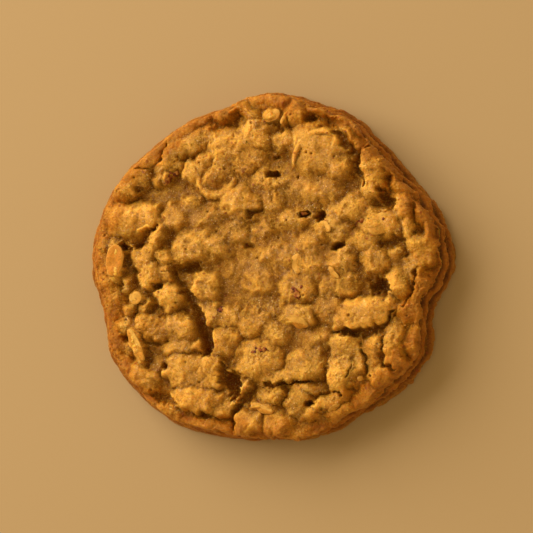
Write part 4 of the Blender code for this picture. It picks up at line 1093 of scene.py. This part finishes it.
# ---------------------------------------------------------------- the pecan bits
# Chopped pecan: small broken chips with a dark red-brown skin over tan meat, half sunk in the dough.
# Each row: middle, half length, half width and turn.
PECANS = (
    (-21.8, 19.2, 1.5, 0.9, 60),
    (-20.2, 20.2, 0.8, 0.5, 20),
    (9.8, 11.0, 0.9, 0.5, 15),
    (27.7, 9.7, 0.7, 0.4, -60),
    (22.2, 9.0, 1.3, 0.3, 15),
    (8.3, -7.0, 1.7, 0.7, -55),
    (9.3, -5.4, 0.8, 0.5, 20),
    (0.6, -19.4, 1.6, 0.7, -15),
    (-1.0, -19.8, 0.8, 0.4, 10),
    (-9.0, -10.2, 1.0, 0.6, 30),
    (-12.6, -11.8, 0.7, 0.4, 0),
    (26.0, -1.2, 0.5, 0.3, 0),
)
BIT_LIFT = -0.15
BIT_THICKNESS = 0.6  # of its width
bpy.ops.object.select_all(action="DESELECT")
resting_bits = lie([(x, y, turn, BIT_LIFT, 0, 0) for x, y, long, broad, turn in PECANS])
for bit, resting in zip(PECANS, resting_bits):
    bpy.ops.mesh.primitive_ico_sphere_add(
        subdivisions=4,
        radius=MM,
        scale=(bit[2], bit[3], bit[3] * BIT_THICKNESS),
        location=resting.to_translation(),
        rotation=resting.to_euler(),
    )
    if bit is PECANS[0]:
        pecans = first_of("pecan_bits")
bpy.ops.object.mode_set(mode="OBJECT")
relief(pecans, "VORONOI", size=0.8, height=0.7, level=0.4)
relief(pecans, "CLOUDS", size=0.4, height=0.12, level=0.5, noise_depth=1)
only(pecans)
bpy.ops.object.shade_smooth()

SKIN = (0.300, 0.075, 0.016)
SKIN_DARK = (0.085, 0.016, 0.005)
MEAT = (0.440, 0.180, 0.030)
pecan_look, nodes, links, shader = new_look("pecan")
colour = mix(span(clouds(0.8, shift=6.0), 0.45, 0.60), SKIN, SKIN_DARK)
colour = mix(span(clouds(1.2, shift=9.0), 0.50, 0.58), colour, MEAT)
links.new(colour, shader.inputs["Base Color"])
links.new(span(clouds(0.6), 0.35, 0.65, 0.4, 0.6), shader.inputs["Roughness"])
shader.inputs["Specular IOR Level"].default_value = 0.2
pecans.data.materials.append(pecan_look)
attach(pecans, "root")
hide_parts("cookie")

# ---------------------------------------------------------------- floor and light
# A plain pale floor and the soft warm light of one large lamp low on the far left.
FLOOR_COLOUR = (0.46, 0.32, 0.17)
LAMP_COLOUR = (1.0, 0.90, 0.74)
ROOM_COLOUR = (1.0, 0.75, 0.36)
ROOM_STRENGTH = 0.58
FLOOR_SIZE = 3.0
FLOOR_DROP = 0.1 * MM  # how far it lies below the underside
LAMP_FROM = Vector((-0.66, 0.50, 0.56)).normalized()
LAMP_DISTANCE = 1.0
LAMP_SIZE = 1.0
LAMP_POWER = 14.2
bpy.ops.object.select_all(action="DESELECT")
bpy.ops.mesh.primitive_plane_add(size=FLOOR_SIZE, location=(0, 0, -FLOOR_DROP))
floor = bpy.context.object
floor.name = "floor"
floor_look, nodes, links, shader = new_look("pale_floor")
plug(FLOOR_COLOUR, shader.inputs["Base Color"])
plug(0.9, shader.inputs["Roughness"])
floor.data.materials.append(floor_look)

world = bpy.data.worlds.new("studio")
world.use_nodes = True
background = world.node_tree.nodes["Background"]
plug(ROOM_COLOUR, background.inputs["Color"])
plug(ROOM_STRENGTH, background.inputs["Strength"])
bpy.context.scene.world = world
bpy.ops.object.light_add(type="AREA", location=LAMP_FROM * LAMP_DISTANCE)
lamp = bpy.context.object
lamp.name = "lamp"
lamp.rotation_euler = LAMP_FROM.to_track_quat("Z", "Y").to_euler()
lamp.data.size = LAMP_SIZE
lamp.data.energy = LAMP_POWER
lamp.data.color = LAMP_COLOUR
bpy.context.scene.view_settings.view_transform = "Standard"
